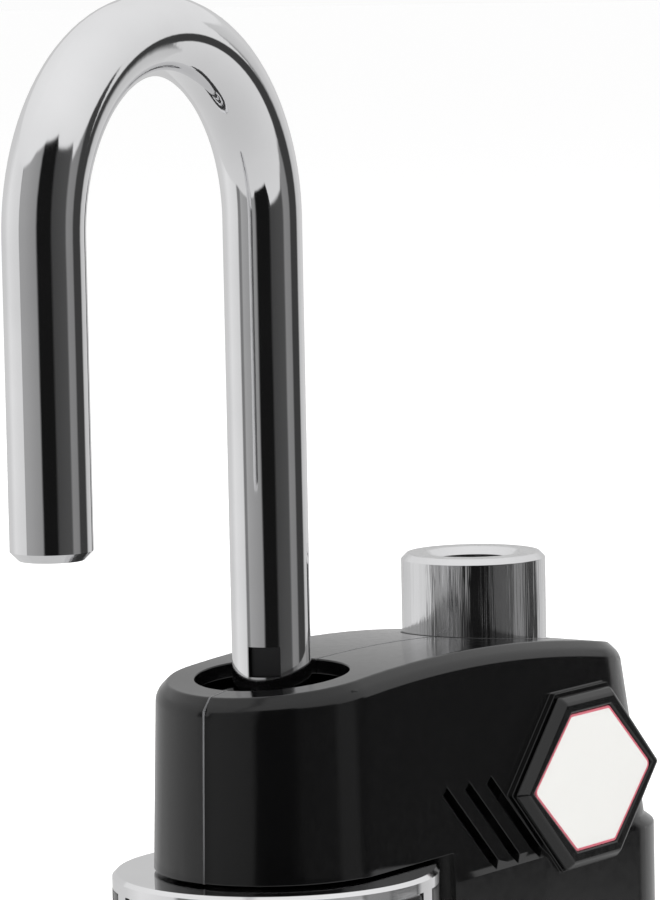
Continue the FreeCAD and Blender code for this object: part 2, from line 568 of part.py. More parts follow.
def make_key_plug():
    core = rod("plug_core", "dims.plug_radius", "dims.plug_top - dims.plug_base", PLUG_ALONG, PLUG_DEPTH,
               "dims.plug_base")
    flange = rod("plug_flange", "dims.plug_flange_radius", "dims.plug_flange_height", PLUG_ALONG, PLUG_DEPTH,
                 "dims.plug_base")
    tail = rod("plug_tail", "dims.tail_radius", "dims.tail_top - dims.plug_top + dims.overlap", PLUG_ALONG,
               PLUG_DEPTH, "dims.plug_top - dims.overlap")
    tang = block("plug_tang", "dims.tang_width", "dims.tang_width",
                 "dims.tang_top - dims.tail_top + dims.overlap", f"{PLUG_ALONG} - dims.tang_width / 2",
                 f"{PLUG_DEPTH} - dims.tang_width / 2", "dims.tail_top - dims.overlap")
    keyway = block("keyway", "dims.keyway_width", "dims.keyway_height", "dims.keyway_depth + dims.overcut",
                   f"{PLUG_ALONG} - dims.keyway_width / 2", f"{PLUG_DEPTH} - dims.keyway_height / 2",
                   "dims.plug_base - dims.overcut")
    tools = [keyway]
    slot_width = "(dims.wafer_width + 2 * dims.loose_gap)"
    slot_length = "(dims.wafer_length + 2 * dims.loose_gap)"
    for index in range(int(value("wafer_count"))):
        tools.append(block(f"wafer_slot_{index}", slot_width, slot_length,
                           "dims.wafer_thickness + 2 * dims.seat_gap", f"{PLUG_ALONG} - {slot_width} / 2",
                           f"{PLUG_DEPTH} - {slot_length} / 2", wafer_height(index)))
    return cut("key_plug", fuse("plug_blank", core, flange, tail, tang), *tools)


def make_wafers():
    """Wafers, each with a window for the key at a different height."""
    wafers = []
    for index in range(int(value("wafer_count"))):
        step = f"({(index * 2) % 5 - 2} * dims.wafer_step)"
        plate = block(f"wafer_plate_{index}", "dims.wafer_width", "dims.wafer_length", "dims.wafer_thickness",
                      f"{PLUG_ALONG} - dims.wafer_width / 2", f"{PLUG_DEPTH} - dims.wafer_length / 2",
                      f"{wafer_height(index)} + dims.seat_gap")
        window = block(f"wafer_window_{index}", "dims.keyway_width", "dims.wafer_window",
                       "dims.wafer_thickness + 2 * dims.overcut", f"{PLUG_ALONG} - dims.keyway_width / 2",
                       f"{PLUG_DEPTH} - dims.wafer_window / 2 + {step}",
                       f"{wafer_height(index)} - dims.overcut")
        wafers.append(cut(f"wafer_{index}", plate, window))
    return group("wafers", *wafers)


def make_cam():
    """The disc on the plug's tang, and the pin that stands off centre and carries the bolt in and out."""
    rest_angle = "(dims.latch_angle - dims.cam_lag) * 1 deg"
    disc = rod("cam_disc", "dims.cam_radius", "dims.cam_top - dims.cam_base", PLUG_ALONG, PLUG_DEPTH,
               "dims.cam_base")
    pin = rod("cam_pin", "dims.cam_pin_radius", "dims.cam_pin_top - dims.cam_top + dims.overlap",
              f"{PLUG_ALONG} + dims.cam_throw * cos({rest_angle})",
              f"{PLUG_DEPTH} + dims.cam_throw * sin({rest_angle})", "dims.cam_top - dims.overlap")
    width = "(dims.tang_width + dims.loose_gap)"
    hole = block("cam_square", width, width, "dims.tang_top - dims.cam_base + dims.loose_gap + dims.overcut",
                 f"{PLUG_ALONG} - {width} / 2", f"{PLUG_DEPTH} - {width} / 2", "dims.cam_base - dims.overcut")
    return cut("latch_cam", fuse("cam_blank", disc, pin), hole)


def make_latch_bolt():
    """The bolt, with a slot across it that is open at one side for the cam's pin."""
    body = new_body("latch_bolt")
    outline = new_sketch(body, "latch_bolt_outline", offset="dims.bolt_base", turn=LATCH_TURN)
    wide, nose = "dims.bolt_half_width", "dims.nose_half_width"
    add_polygon(outline, [
        ("dims.nose_tip", f"-{nose}"), ("dims.nose_root", f"-{nose}"), ("dims.nose_root", f"-{wide}"),
        ("dims.bolt_end", f"-{wide}"), ("dims.bolt_end", wide), ("dims.nose_root", wide),
        ("dims.nose_root", nose), ("dims.nose_tip", nose)])
    pad(body, "latch_bolt_bar", outline, "dims.bolt_height")
    slot = new_sketch(body, "cam_slot_profile", offset="dims.bolt_base - dims.overcut", turn=LATCH_TURN)
    middle = "dims.plug_offset + dims.cam_throw * cos(dims.cam_lag * 1 deg)"
    half = "(dims.cam_pin_radius + dims.loose_gap)"
    add_rectangle(slot, f"{middle} - {half}", f"{middle} + {half}", f"-{wide} - dims.overcut",
                  "dims.cam_slot_end")
    pocket(body, "cam_slot", slot, "dims.bolt_height + 2 * dims.overcut", backwards=True)
    return body


def make_latch_cover():
    body = new_body("latch_cover")
    outline = new_sketch(body, "latch_cover_outline", offset="dims.cover_base", turn=LATCH_TURN)
    add_stadium(outline, "dims.plug_offset", "dims.arm_half_width - dims.loose_gap")
    pad(body, "latch_cover_plate", outline, "dims.cover_thickness")
    below, through = "dims.cover_base - dims.overcut", "dims.cover_thickness + 2 * dims.overcut"
    neck = new_sketch(body, "latch_cover_neck", offset=below)
    add_circle(neck, "dims.shoulder_radius + dims.loose_gap")
    pocket(body, "latch_cover_relief", neck, through, backwards=True)
    holes = new_sketch(body, "latch_cover_holes_profile", offset=below, turn=LATCH_TURN)
    for side in (-1, 1):
        add_circle(holes, "dims.small_screw_radius + dims.seat_gap", "dims.plug_offset",
                   f"{side} * dims.cover_tap_offset")
    pocket(body, "latch_cover_holes", holes, through, backwards=True)
    return body


def make_latch_cover_screws():
    screws = []
    for index, side in enumerate((-1, 1)):
        offset = f"({side} * dims.cover_tap_offset)"
        along = f"{PLUG_ALONG} - {offset} * sin(dims.latch_angle * 1 deg)"
        depth = f"{PLUG_DEPTH} + {offset} * cos(dims.latch_angle * 1 deg)"
        shank = rod(f"cover_screw_shank_{index}", "dims.small_screw_radius",
                    "dims.cap_screw_reach + dims.cover_thickness + dims.cap_height / 2", along, depth,
                    "dims.cover_base - dims.cap_screw_reach")
        head = rod(f"cover_screw_cap_{index}", "dims.cap_radius", "dims.cap_height", along, depth,
                   "dims.cover_base + dims.cover_thickness")
        screws.append(fuse(f"latch_cover_screw_{index}", shank, head))
    return group("latch_cover_screws", *screws)


# ---------------------------------------------------------------- crossbar and receiver

def make_crossbar():
    body = new_body("crossbar")
    outline = new_sketch(body, "crossbar_outline", offset="dims.bar_base")
    add_stadium(outline, "dims.leg_spacing", "dims.bar_half_width")
    pad(body, "crossbar_plate", outline, "dims.bar_thickness")
    holes = new_sketch(body, "crossbar_holes_profile", offset="dims.bar_base - dims.overcut")
    add_circle(holes, "dims.neck_radius + dims.running_gap")
    add_circle(holes, "dims.stem_radius + dims.running_gap", "dims.leg_spacing")
    pocket(body, "crossbar_holes", holes, "dims.bar_thickness + 2 * dims.overcut", backwards=True)
    return body


def make_neck_nut():
    """The ring nut on the neck, with notches round its top edge for a hook spanner."""
    base = "dims.bar_base + dims.bar_thickness"
    ring = rod("neck_nut_ring", "dims.ring_nut_radius", "dims.ring_nut_height", up=base)
    bore = rod("neck_nut_bore", "dims.neck_radius + dims.running_gap",
               "dims.ring_nut_height + 2 * dims.overcut", up=f"{base} - dims.overcut")
    notches = []
    count = int(value("nut_notch_count"))
    for index in range(count):
        angle = (index + 0.5) * 2 * math.pi / count
        notches.append(block(f"neck_nut_notch_{index}", "dims.nut_notch", "dims.nut_notch", "dims.nut_notch",
                             f"{math.cos(angle)} * dims.ring_nut_radius - dims.nut_notch / 2",
                             f"{math.sin(angle)} * dims.ring_nut_radius - dims.nut_notch / 2",
                             f"{base} + dims.nut_notch_base"))
    return cut("neck_nut", ring, bore, *notches)


def make_receiver_sleeve():
    body = new_body("receiver_sleeve")
    base = "dims.bar_base + dims.bar_thickness"
    guide = "dims.plunger_radius + dims.plunger_gap"
    profile = new_sketch(body, "receiver_profile", "XZ_Plane")
    add_polygon(profile, [
        (guide, "dims.stem_base"), ("dims.stem_radius", "dims.stem_base"), ("dims.stem_radius", base),
        ("dims.sleeve_radius", base), ("dims.sleeve_radius", "dims.sleeve_top - dims.sleeve_edge"),
        ("dims.sleeve_radius - dims.sleeve_edge", "dims.sleeve_top"),
        ("dims.sleeve_bore_radius + dims.sleeve_mouth", "dims.sleeve_top"),
        ("dims.sleeve_bore_radius", "dims.sleeve_top - dims.sleeve_mouth"),
        ("dims.sleeve_bore_radius", "dims.sleeve_floor"), (guide, "dims.sleeve_floor")])
    revolve(body, "receiver_turned", profile)
    bind(body, "Placement.Base.x", "dims.leg_spacing")
    return body


def make_receiver_nut():
    base = "dims.stem_base + dims.receiver_nut_gap"
    height = f"dims.bar_base - ({base})"
    ring = rod("receiver_nut_ring", "dims.receiver_nut_radius", height, "dims.leg_spacing", up=base)
    bore = rod("receiver_nut_bore", "dims.stem_radius + dims.running_gap", f"{height} + 2 * dims.overcut",
               "dims.leg_spacing", up=f"{base} - dims.overcut")
    return cut("receiver_nut", ring, bore)


def make_arming_plunger():
    along = "dims.leg_spacing"
    stem = rod("plunger_stem", "dims.plunger_radius", "dims.plunger_top - dims.plunger_base", along,
               up="dims.plunger_base")
    flange = rod("plunger_flange", "dims.flange_radius", "dims.flange_height", along, up="dims.plunger_base")
    tip = rod("plunger_tip", "dims.plunger_tip_radius",
              "dims.plunger_base - dims.plunger_tip_base + dims.overlap", along, up="dims.plunger_tip_base")
    point = doc.addObject("Part::Cone", "plunger_point")
    bind(point, "Radius1", "dims.plunger_radius - dims.seat_gap")
    bind(point, "Radius2", "dims.plunger_point_radius")
    bind(point, "Height", "dims.plunger_point_height")
    place(point, along, "0", "dims.plunger_top")
    return fuse("arming_plunger", fuse("plunger_blank", stem, flange, tip), point)


def make_plunger_spring():
    return make_coil("plunger_spring", "dims.small_coil_radius", "dims.small_coil_wire",
                     "dims.small_coil_turns", "dims.switch_base + dims.switch_height + dims.loose_gap",
                     "dims.plunger_base", "dims.leg_spacing")


def make_arming_switch():
    case = block("switch_case", "dims.switch_length", "dims.switch_width", "dims.switch_height",
                 "dims.leg_spacing - dims.switch_length / 2", "-dims.switch_width / 2", "dims.switch_base")
    button = rod("switch_button", "dims.switch_button_radius", "dims.switch_button_rise + dims.overlap",
                 "dims.leg_spacing", "0", "dims.switch_base + dims.switch_height - dims.overlap")
    return fuse("arming_switch", case, button)


# ---------------------------------------------------------------- shell halves

def cut_crown(body, name, depth):
    """Cuts the top along a long arc over X, a depth below the deck, and so gives the deck its crown."""
    sketch = new_sketch(body, name + "_outline", "XZ_Plane")
    radius = value(f"dims.crown_radius - {depth}")
    along, height = value("crown_along"), value("crown_height - crown_radius")
    reach, top = value("crown_reach"), value("crown_height + cut_margin")
    angle = math.asin(reach / radius)
    low = height + math.sqrt(radius * radius - reach * reach)
    circle = Part.Circle(Vector(along, height, 0), UPWARDS, radius)
    arc = sketch.addGeometry(Part.ArcOfCircle(circle, QUARTER_TURN - angle, QUARTER_TURN + angle))
    left = sketch.addGeometry(Part.LineSegment(Vector(along - reach, low, 0), Vector(along - reach, top, 0)))
    roof = sketch.addGeometry(Part.LineSegment(Vector(along - reach, top, 0), Vector(along + reach, top, 0)))
    right = sketch.addGeometry(Part.LineSegment(Vector(along + reach, top, 0), Vector(along + reach, low, 0)))
    for first, second in ((arc, left), (left, roof), (roof, right), (right, arc)):
        sketch.addConstraint(Sketcher.Constraint("Coincident", first, 2, second, 1))
    for side in (left, right):
        sketch.addConstraint(Sketcher.Constraint("Vertical", side))
    pin_point(sketch, arc, 3, "dims.crown_along", "dims.crown_height - dims.crown_radius")
    constrain(sketch, "Radius", arc, formula=f"dims.crown_radius - {depth}")
    pin_point(sketch, roof, 1, "dims.crown_along - dims.crown_reach", "dims.crown_height + dims.cut_margin")
    pin_point(sketch, roof, 2, "dims.crown_along + dims.crown_reach", "dims.crown_height + dims.cut_margin")
    feature = body.newObject("PartDesign::Pocket", name)
    feature.Profile = sketch
    feature.Midplane = True
    bind(feature, "Length", "2 * dims.crown_reach")
    doc.recompute()
    return feature


def crown_edges(shape, radius):
    """The edges round the crowned face, which is part of a cylinder of that radius."""
    faces = [face for face in shape.Faces if isinstance(face.Surface, Part.Cylinder)
             and abs(face.Surface.Radius - radius) < SAME_RADIUS]
    rim = [edge for face in faces for edge in face.OuterWire.Edges]
    return edges_where(shape, lambda edge: any(edge.isSame(side) for side in rim))


def outer_form(body, name):
    """The closed outer form of both halves together: a drafted upper part, a small step, and the skirt."""
    deck = new_sketch(body, name + "_deck", offset="dims.crown_height + dims.overlap")
    add_stadium(deck, "dims.deck_end", "dims.deck_radius")
    waist = new_sketch(body, name + "_waist", offset="dims.waist_height")
    add_stadium(waist, "dims.waist_end", "dims.waist_radius")
    loft(body, "AdditiveLoft", name + "_upper", waist, deck)
    crowned = cut_crown(body, name + "_crown", "0")
    rim = crown_edges(crowned.Shape, value("crown_radius"))
    bevelled = dress(body, "Chamfer", name + "_deck_bevel", crowned, rim, "dims.deck_chamfer")
    rim = crown_edges(bevelled.Shape, value("crown_radius"))
    dress(body, "Fillet", name + "_deck_edge", bevelled, rim, "dims.deck_round")
    skirt = new_sketch(body, name + "_skirt", offset="dims.skirt_top")
    add_stadium(skirt, "dims.skirt_end", "dims.skirt_radius")
    step = new_sketch(body, name + "_step", offset="dims.waist_height")
    add_stadium(step, "dims.waist_end", "dims.waist_radius")
    loft(body, "AdditiveLoft", name + "_ledge", skirt, step)
    walls = new_sketch(body, name + "_walls")
    add_stadium(walls, "dims.skirt_end", "dims.skirt_radius")
    pad(body, name + "_lower", walls, "dims.skirt_top")


def hollow_out(body, name):
    """The clearance round the drum, the cavity, and the holes in the deck."""
    clearance = new_sketch(body, name + "_drum_circle", offset="-dims.overcut")
    add_circle(clearance, "dims.drum_clearance_radius")
    pocket(body, name + "_drum_clearance", clearance, "dims.shell_floor + dims.overcut", backwards=True)
    cavity = new_body(name + "_cavity")
    roof = new_sketch(cavity, name + "_roof", offset="dims.crown_height + dims.overlap")
    add_stadium(roof, "dims.deck_end", "dims.deck_radius - dims.shell_wall")
    floor = new_sketch(cavity, name + "_floor", offset="dims.shell_floor + dims.floor_thickness")
    add_stadium(floor, "dims.waist_end - dims.cavity_shift", "dims.waist_radius - dims.shell_wall")
    loft(cavity, "AdditiveLoft", name + "_cavity_form", floor, roof)
    cut_crown(cavity, name + "_cavity_crown", "dims.deck_thickness")
    hollow = body.newObject("PartDesign::Boolean", name + "_hollow")
    hollow.Type = "Cut"
    hollow.Group = [cavity]
    body.Tip = hollow
    doc.recompute()
    bay = new_sketch(body, name + "_bay", offset="-dims.overcut")
    add_bay(bay, "dims.waist_end", "dims.waist_radius - dims.shell_wall",
            "dims.drum_clearance_radius + dims.shell_wall")
    pocket(body, name + "_bay_cavity", bay,
           "dims.shell_floor + dims.floor_thickness + dims.overcut + dims.overlap", backwards=True)
    below, through = "dims.shell_floor - dims.overcut", "dims.floor_thickness + dims.overcut + dims.overlap"
    neck = new_sketch(body, name + "_neck_circle", offset=below)
    add_circle(neck, "dims.neck_hole_radius")
    pocket(body, name + "_neck_hole", neck, through, backwards=True)
    arm = new_sketch(body, name + "_arm_outline", offset=below, turn=LATCH_TURN)
    add_circle(arm, "dims.arm_half_width + dims.arm_gap", "dims.plug_offset")
    pocket(body, name + "_arm_hole", arm, through, backwards=True)
    holes = new_sketch(body, name + "_deck_circles", offset="dims.deck_height - dims.deck_hole_depth")
    add_circle(holes, "dims.leg_hole_radius")
    add_circle(holes, "dims.receiver_hole_radius", "dims.leg_spacing")
    pocket(body, name + "_deck_holes", holes, "2 * dims.deck_hole_depth", backwards=True)


def add_bosses(body, name, front):
    """Bosses that meet their twins at the parting plane, and tapped posts for the battery cover's screws."""
    offset = "dims.parting_gap" if front else "-dims.parting_gap"
    for place_name in SHELL_SCREWS:
        along, height, length = sizes_of(f"shell_screw_{place_name}", SHELL_SCREW_PARTS)
        boss = new_sketch(body, f"{name}_boss_{place_name}_outline", "XZ_Plane", offset=offset)
        add_circle(boss, "dims.screw_boss_radius", along, height)
        pad(body, f"{name}_boss_{place_name}", boss, length, backwards=not front)
    side = -1 if front else 1
    for place_name in COVER_SCREWS:
        along, depth = sizes_of(f"cover_screw_{place_name}", COVER_SCREW_PARTS)
        post = new_sketch(body, f"{name}_post_{place_name}_outline",
                          offset="dims.cover_inset + dims.cover_plate + dims.loose_gap")
        add_circle(post, "dims.post_radius", along, f"{side} * {depth}")
        pad(body, f"{name}_post_{place_name}", post, "dims.post_length")
        tap = new_sketch(body, f"{name}_tap_{place_name}_outline")
        add_circle(tap, "dims.cover_screw_radius + dims.seat_gap", along, f"{side} * {depth}")
        pocket(body, f"{name}_tap_{place_name}", tap, "dims.post_length", backwards=True)


def keep_half(body, name, front):
    """Removes everything on the other side of the parting plane."""
    offset = "dims.parting_gap" if front else "-dims.parting_gap"
    outline = new_sketch(body, name + "_other_half", "XZ_Plane", offset=offset)
    add_rectangle(outline, "-dims.split_reach", "2 * dims.split_reach", "-dims.cut_margin",
                  "dims.deck_height + dims.cut_margin")
    pocket(body, name + "_parting", outline, "dims.split_reach", backwards=not front)


def make_front_shell():
    body = new_body("front_shell")
    outer_form(body, "front")
    boss = badge_sketch(body, "badge_boss_outline", "dims.boss_face - dims.badge_boss_depth")
    add_polygon(boss, hexagon("dims.frame_rim + dims.boss_rim"))
    pad(body, "badge_boss", boss, "dims.badge_boss_depth")
    hollow_out(body, "front")
    keep_half(body, "front", True)
    add_bosses(body, "front", True)
    for place_name in SHELL_SCREWS:
        along, height, length = sizes_of(f"shell_screw_{place_name}", SHELL_SCREW_PARTS)
        pilot = new_sketch(body, f"pilot_{place_name}_outline", "XZ_Plane", offset="-dims.overcut")
        add_circle(pilot, "dims.screw_pilot_radius", along, height)
        pocket(body, f"pilot_{place_name}", pilot, "dims.pilot_depth + dims.overcut", backwards=True)
    slot = new_sketch(body, "sounder_slot_outline", "XZ_Plane", offset="dims.slot_cut_start")
    run = "dims.slot_length * cos(dims.slot_tilt * 1 deg)"
    rise = "dims.slot_width * cos(dims.slot_tilt * 1 deg)"
    add_polygon(slot, [
        ("dims.slot_start", "dims.slot_height"), (f"dims.slot_start + {run}", f"dims.slot_height - {run}"),
        (f"dims.slot_start + {run} - {rise}", f"dims.slot_height - {run} - {rise}"),
        (f"dims.slot_start - {rise}", f"dims.slot_height - {rise}")])
    first = pocket(body, "sounder_slot", slot, "dims.slot_cut_depth", backwards=True)
    row = body.newObject("PartDesign::LinearPattern", "sounder_slots")
    row.Originals = [first]
    row.Direction = (slot, ["H_Axis"])
    row.Reversed = True
    bind(row, "Length", "dims.slot_pitch * (dims.slot_count - 1)")
    bind(row, "Occurrences", "dims.slot_count")
    body.Tip = row
    doc.recompute()
    return body


def make_rear_shell():
    body = new_body("rear_shell")
    outer_form(body, "rear")
    hollow_out(body, "rear")
    keep_half(body, "rear", False)
    add_bosses(body, "rear", False)
    for place_name in SHELL_SCREWS:
        along, height, length = sizes_of(f"shell_screw_{place_name}", SHELL_SCREW_PARTS)
        through = new_sketch(body, f"through_{place_name}_outline", "XZ_Plane", offset="dims.overcut")
        add_circle(through, "dims.screw_pilot_radius + dims.loose_gap", along, height)
        pocket(body, f"through_{place_name}", through, "dims.through_depth")
        sink = new_sketch(body, f"sink_{place_name}_outline", "XZ_Plane",
                          offset=f"-({length} - dims.screw_seat_depth)")
        add_circle(sink, "dims.screw_head + dims.sink_gap", along, height)
        pocket(body, f"sink_{place_name}", sink, "dims.sink_depth")
    return body


def make_shell_screws():
    screws = []
    for name in SHELL_SCREWS:
        along, height, length = sizes_of(f"shell_screw_{name}", SHELL_SCREW_PARTS)
        seat = f"{length} - dims.screw_seat_depth"
        crown = f"{seat} + dims.screw_head_thickness + dims.contact_gap"
        shank = rod(f"shell_screw_shank_{name}", "dims.screw_radius", f"{seat} + dims.screw_engagement",
                    along, f"{seat} + dims.overlap", height, FACING_FRONT)
        head = rod(f"shell_screw_head_{name}", "dims.screw_head", "dims.screw_head_thickness",
                   along, crown, height, FACING_FRONT)
        recess = rod(f"shell_screw_recess_{name}", "dims.socket_radius", "dims.socket_depth + dims.overcut",
                     along, f"{crown} + dims.overcut", height, FACING_FRONT)
        screws.append(cut(f"shell_screw_{name}", fuse(f"shell_screw_blank_{name}", shank, head), recess))
    return group("shell_screws", *screws)


# ---------------------------------------------------------------- badge

def make_badge_frame():
    body = new_body("badge_frame")
    outer = badge_sketch(body, "badge_frame_outline", "dims.boss_face + dims.contact_gap")
    add_polygon(outer, hexagon("dims.frame_rim"))
    pad(body, "badge_frame_blank", outer, "dims.frame_face - dims.boss_face - dims.contact_gap")
    front = min(body.Shape.Faces, key=lambda face: face.CenterOfMass.y)
    front_edges = edges_where(body.Shape, lambda edge: any(edge.isSame(side) for side in front.Edges))
    dress(body, "Chamfer", "badge_frame_bevel", body.Tip, front_edges, "dims.frame_bevel")
    inner = badge_sketch(body, "badge_frame_window_outline", "dims.boss_face - dims.overcut")
    add_polygon(inner, hexagon("dims.loose_gap"))
    pocket(body, "badge_frame_window", inner, "dims.frame_face - dims.boss_face + 2 * dims.overcut",
           backwards=True)
    return body


def make_badge_inlay():
    body = new_body("badge_inlay")
    outline = badge_sketch(body, "badge_inlay_outline", "dims.boss_face + dims.contact_gap")
    add_polygon(outline, hexagon())
    pad(body, "badge_inlay_plate", outline, "dims.badge_face - dims.boss_face - dims.contact_gap")
    return body


# ---------------------------------------------------------------- alarm

def make_alarm_board():
    """The circuit board, with its larger components standing on the front."""
    board = block("board_plate", "dims.board_right - dims.board_left", "dims.board_thickness",
                  "dims.board_top - dims.board_base", "dims.board_left", "dims.board_front", "dims.board_base")
    pieces = [board]
    for name in CHIPS:
        along, height, length, tall, thick = sizes_of(f"chip_{name}", CHIP_PARTS)
        pieces.append(block(f"board_{name}", length, f"{thick} + dims.overlap", tall, along,
                            f"dims.board_front - {thick}", height))
    return fuse("alarm_board", *pieces)


def make_shock_sensor():
    depth = "dims.board_front - dims.sensor_radius - dims.seat_gap"
    can = rod("shock_sensor_can", "dims.sensor_radius", "dims.sensor_length", "dims.sensor_along", depth,
              "dims.sensor_base")
    cap = rod("shock_sensor_cap", "dims.sensor_cap_radius", "dims.sensor_length + 2 * dims.sensor_cap_rise",
              "dims.sensor_along", depth, "dims.sensor_base - dims.sensor_cap_rise")
    return fuse("shock_sensor", can, cap)


def make_sounder():
    can = rod("sounder_can", "dims.sounder_radius", "dims.sounder_depth", "dims.sounder_along",
              "dims.sounder_front", "dims.sounder_height", FACING_REAR)
    mouth = rod("sounder_mouth", "dims.sounder_mouth_radius", "dims.sounder_mouth_depth + dims.overcut",
                "dims.sounder_along", "dims.sounder_front - dims.overcut", "dims.sounder_height", FACING_REAR)
    return cut("sounder", can, mouth)


def make_sounder_seal():
    front = "dims.sounder_front - dims.sounder_seal_thickness - dims.contact_gap"
    ring = rod("sounder_seal_ring", "dims.sounder_radius - 2 * dims.loose_gap", "dims.sounder_seal_thickness",
               "dims.sounder_along", front, "dims.sounder_height", FACING_REAR)
    bore = rod("sounder_seal_bore", "dims.sounder_seal_bore", "dims.sounder_seal_thickness + 2 * dims.overcut",
               "dims.sounder_along", f"{front} - dims.overcut", "dims.sounder_height", FACING_REAR)
    return cut("sounder_seal", ring, bore)


def cell_along(index):
    return f"dims.cell_first + {index} * dims.cell_pitch"


def make_batteries():
    cells = []
    for index in range(int(value("cell_count"))):
        case = rod(f"cell_case_{index}", "dims.cell_radius", "dims.cell_length - dims.cell_button_height",
                   cell_along(index), "dims.cell_row", "dims.cell_base")
        button = rod(f"cell_button_{index}", "dims.cell_button_radius",
                     "dims.cell_button_height + dims.overlap", cell_along(index), "dims.cell_row",
                     "dims.cell_base + dims.cell_length - dims.cell_button_height - dims.overlap")
        cells.append(fuse(f"cell_{index}", case, button))
    return group("batteries", *cells)


def make_battery_tray():
    room = "(dims.cell_radius + dims.cell_gap)"
    left = f"dims.cell_first - {room} - dims.tray_wall"
    length = f"(dims.cell_count - 1) * dims.cell_pitch + 2 * {room} + 2 * dims.tray_wall"
    shell = block("tray_blank", length, f"2 * {room} + 2 * dims.tray_side", "dims.tray_height", left,
                  f"dims.cell_row - {room} - dims.tray_side", "dims.tray_base")
    tools = []
    for index in range(int(value("cell_count"))):
        tools.append(rod(f"tray_pocket_{index}", room, "dims.tray_pocket_top - dims.tray_base + dims.overcut",
                         cell_along(index), "dims.cell_row", "dims.tray_base - dims.overcut"))
    return cut("battery_tray", shell, *tools)


def contact_plate(name, index, height):
    """A square spring-metal plate centred on a cell."""
    return block(name, "dims.contact_width", "dims.contact_width", "dims.contact_thickness",
                 f"{cell_along(index)} - dims.contact_width / 2", "dims.cell_row - dims.contact_width / 2",
                 height)


def make_battery_contacts():
    plates = []
    for index in range(int(value("cell_count"))):
        plates.append(contact_plate(f"contact_{index}", index,
                                    "dims.cell_base + dims.cell_length + dims.seat_gap"))
    return group("battery_contacts", *plates)


def make_battery_cover():
    body = new_body("battery_cover")
    outline = new_sketch(body, "battery_cover_outline", offset="dims.cover_inset")
    add_bay(outline, "dims.waist_end", "dims.waist_radius - dims.shell_wall - dims.cover_gap",
            "dims.drum_clearance_radius + dims.shell_wall + dims.cover_gap")
    pad(body, "battery_cover_plate", outline, "dims.cover_plate")
    holes = new_sketch(body, "battery_cover_holes_profile")
    sinks = new_sketch(body, "battery_cover_sinks_profile")
    for name in COVER_SCREWS:
        along, depth = sizes_of(f"cover_screw_{name}", COVER_SCREW_PARTS)
        for side in (-1, 1):
            add_circle(holes, "dims.cover_screw_radius + 2 * dims.loose_gap", along, f"{side} * {depth}")
            add_circle(sinks, "dims.cover_screw_head_radius + 2 * dims.loose_gap", along, f"{side} * {depth}")
    pocket(body, "battery_cover_holes", holes, "dims.cover_inset + dims.cover_plate + dims.overcut",
           backwards=True)
    pocket(body, "battery_cover_sinks", sinks, "dims.cover_inset + dims.cover_sink_depth", backwards=True)
    return body


def make_cover_contacts():
    """The cover's contacts, each a plate with a cone that stands in for its spring."""
    contacts = []
    top = "dims.cover_inset + dims.cover_plate"
    for index in range(int(value("cell_count"))):
        plate = contact_plate(f"cover_contact_plate_{index}", index, f"{top} + dims.contact_gap")
        cone = doc.addObject("Part::Cone", f"cover_contact_cone_{index}")
        bind(cone, "Radius1", "dims.contact_cone_base")
        bind(cone, "Radius2", "dims.contact_cone_tip")
        bind(cone, "Height", "dims.contact_cone_height")
        place(cone, cell_along(index), "dims.cell_row", f"{top} + dims.contact_thickness - dims.loose_gap")
        contacts.append(fuse(f"cover_contact_{index}", plate, cone))
    return group("cover_contacts", *contacts)


def make_cover_screws():
    screws = []
    for name in COVER_SCREWS:
        along, depth = sizes_of(f"cover_screw_{name}", COVER_SCREW_PARTS)
        for side in (-1, 1):
            tag = f"{name}_{side + 1}"
            across = f"{side} * {depth}"
            head = rod(f"cover_screw_head_{tag}", "dims.cover_screw_head_radius",
                       "dims.cover_screw_head_height", along, across, "dims.cover_inset + dims.seat_gap")
            shank = rod(f"cover_screw_body_{tag}", "dims.cover_screw_radius", "dims.cover_screw_length",
                        along, across, "dims.cover_inset + dims.overlap")
            socket = block(f"cover_screw_slot_{tag}", "dims.screw_slot_length", "dims.screw_slot_width",
                           "dims.screw_slot_depth + dims.overcut", f"{along} - dims.screw_slot_length / 2",
                           f"{across} - dims.screw_slot_width / 2", "dims.cover_inset - dims.overcut")
            screws.append(cut(f"cover_screw_{tag}", fuse(f"cover_screw_blank_{tag}", head, shank), socket))
    return group("cover_screws", *screws)


MAKERS = [
    make_shackle, make_lift_collar, make_collar_screw, make_shackle_spring, make_spring_seat, make_lock_body,
    make_leg_seal, make_lock_cylinder, make_key_plug, make_wafers, make_cam, make_latch_bolt, make_latch_cover,
    make_latch_cover_screws, make_crossbar, make_neck_nut, make_receiver_sleeve, make_receiver_nut,
    make_arming_plunger, make_plunger_spring, make_arming_switch, make_front_shell, make_rear_shell,
    make_shell_screws, make_badge_frame, make_badge_inlay, make_alarm_board, make_shock_sensor, make_sounder,
    make_sounder_seal, make_batteries, make_battery_tray, make_battery_contacts, make_battery_cover,
    make_cover_contacts, make_cover_screws,
]


def main():
    nodes = [maker() for maker in MAKERS]
    doc.recompute()
    for thing in doc.Objects:
        bad = {"Invalid", "Error"} & set(thing.State)
        assert not bad, f"{thing.Name} is {bad}"
    os.makedirs("parts", exist_ok=True)
    for node in nodes:
        shape = node.Shape
        assert not shape.isNull() and shape.isValid(), f"{node.Label} has no valid shape"
        assert shape.Solids, f"{node.Label} has no solid"
        shape.exportStep(f"parts/{node.Label}.step")
        print(f"{node.Label}: {len(shape.Solids)} solids, volume {shape.Volume:.1f}")


main()
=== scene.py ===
"""Studio scene of the alarm disc lock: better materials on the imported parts, and pieces with finer detail.

Units are metres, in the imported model's own frame: +Z up, origin under the shackle's long leg, -Y the front.
"""
import bmesh
import bpy
import json
import math
from mathutils import Matrix, Vector


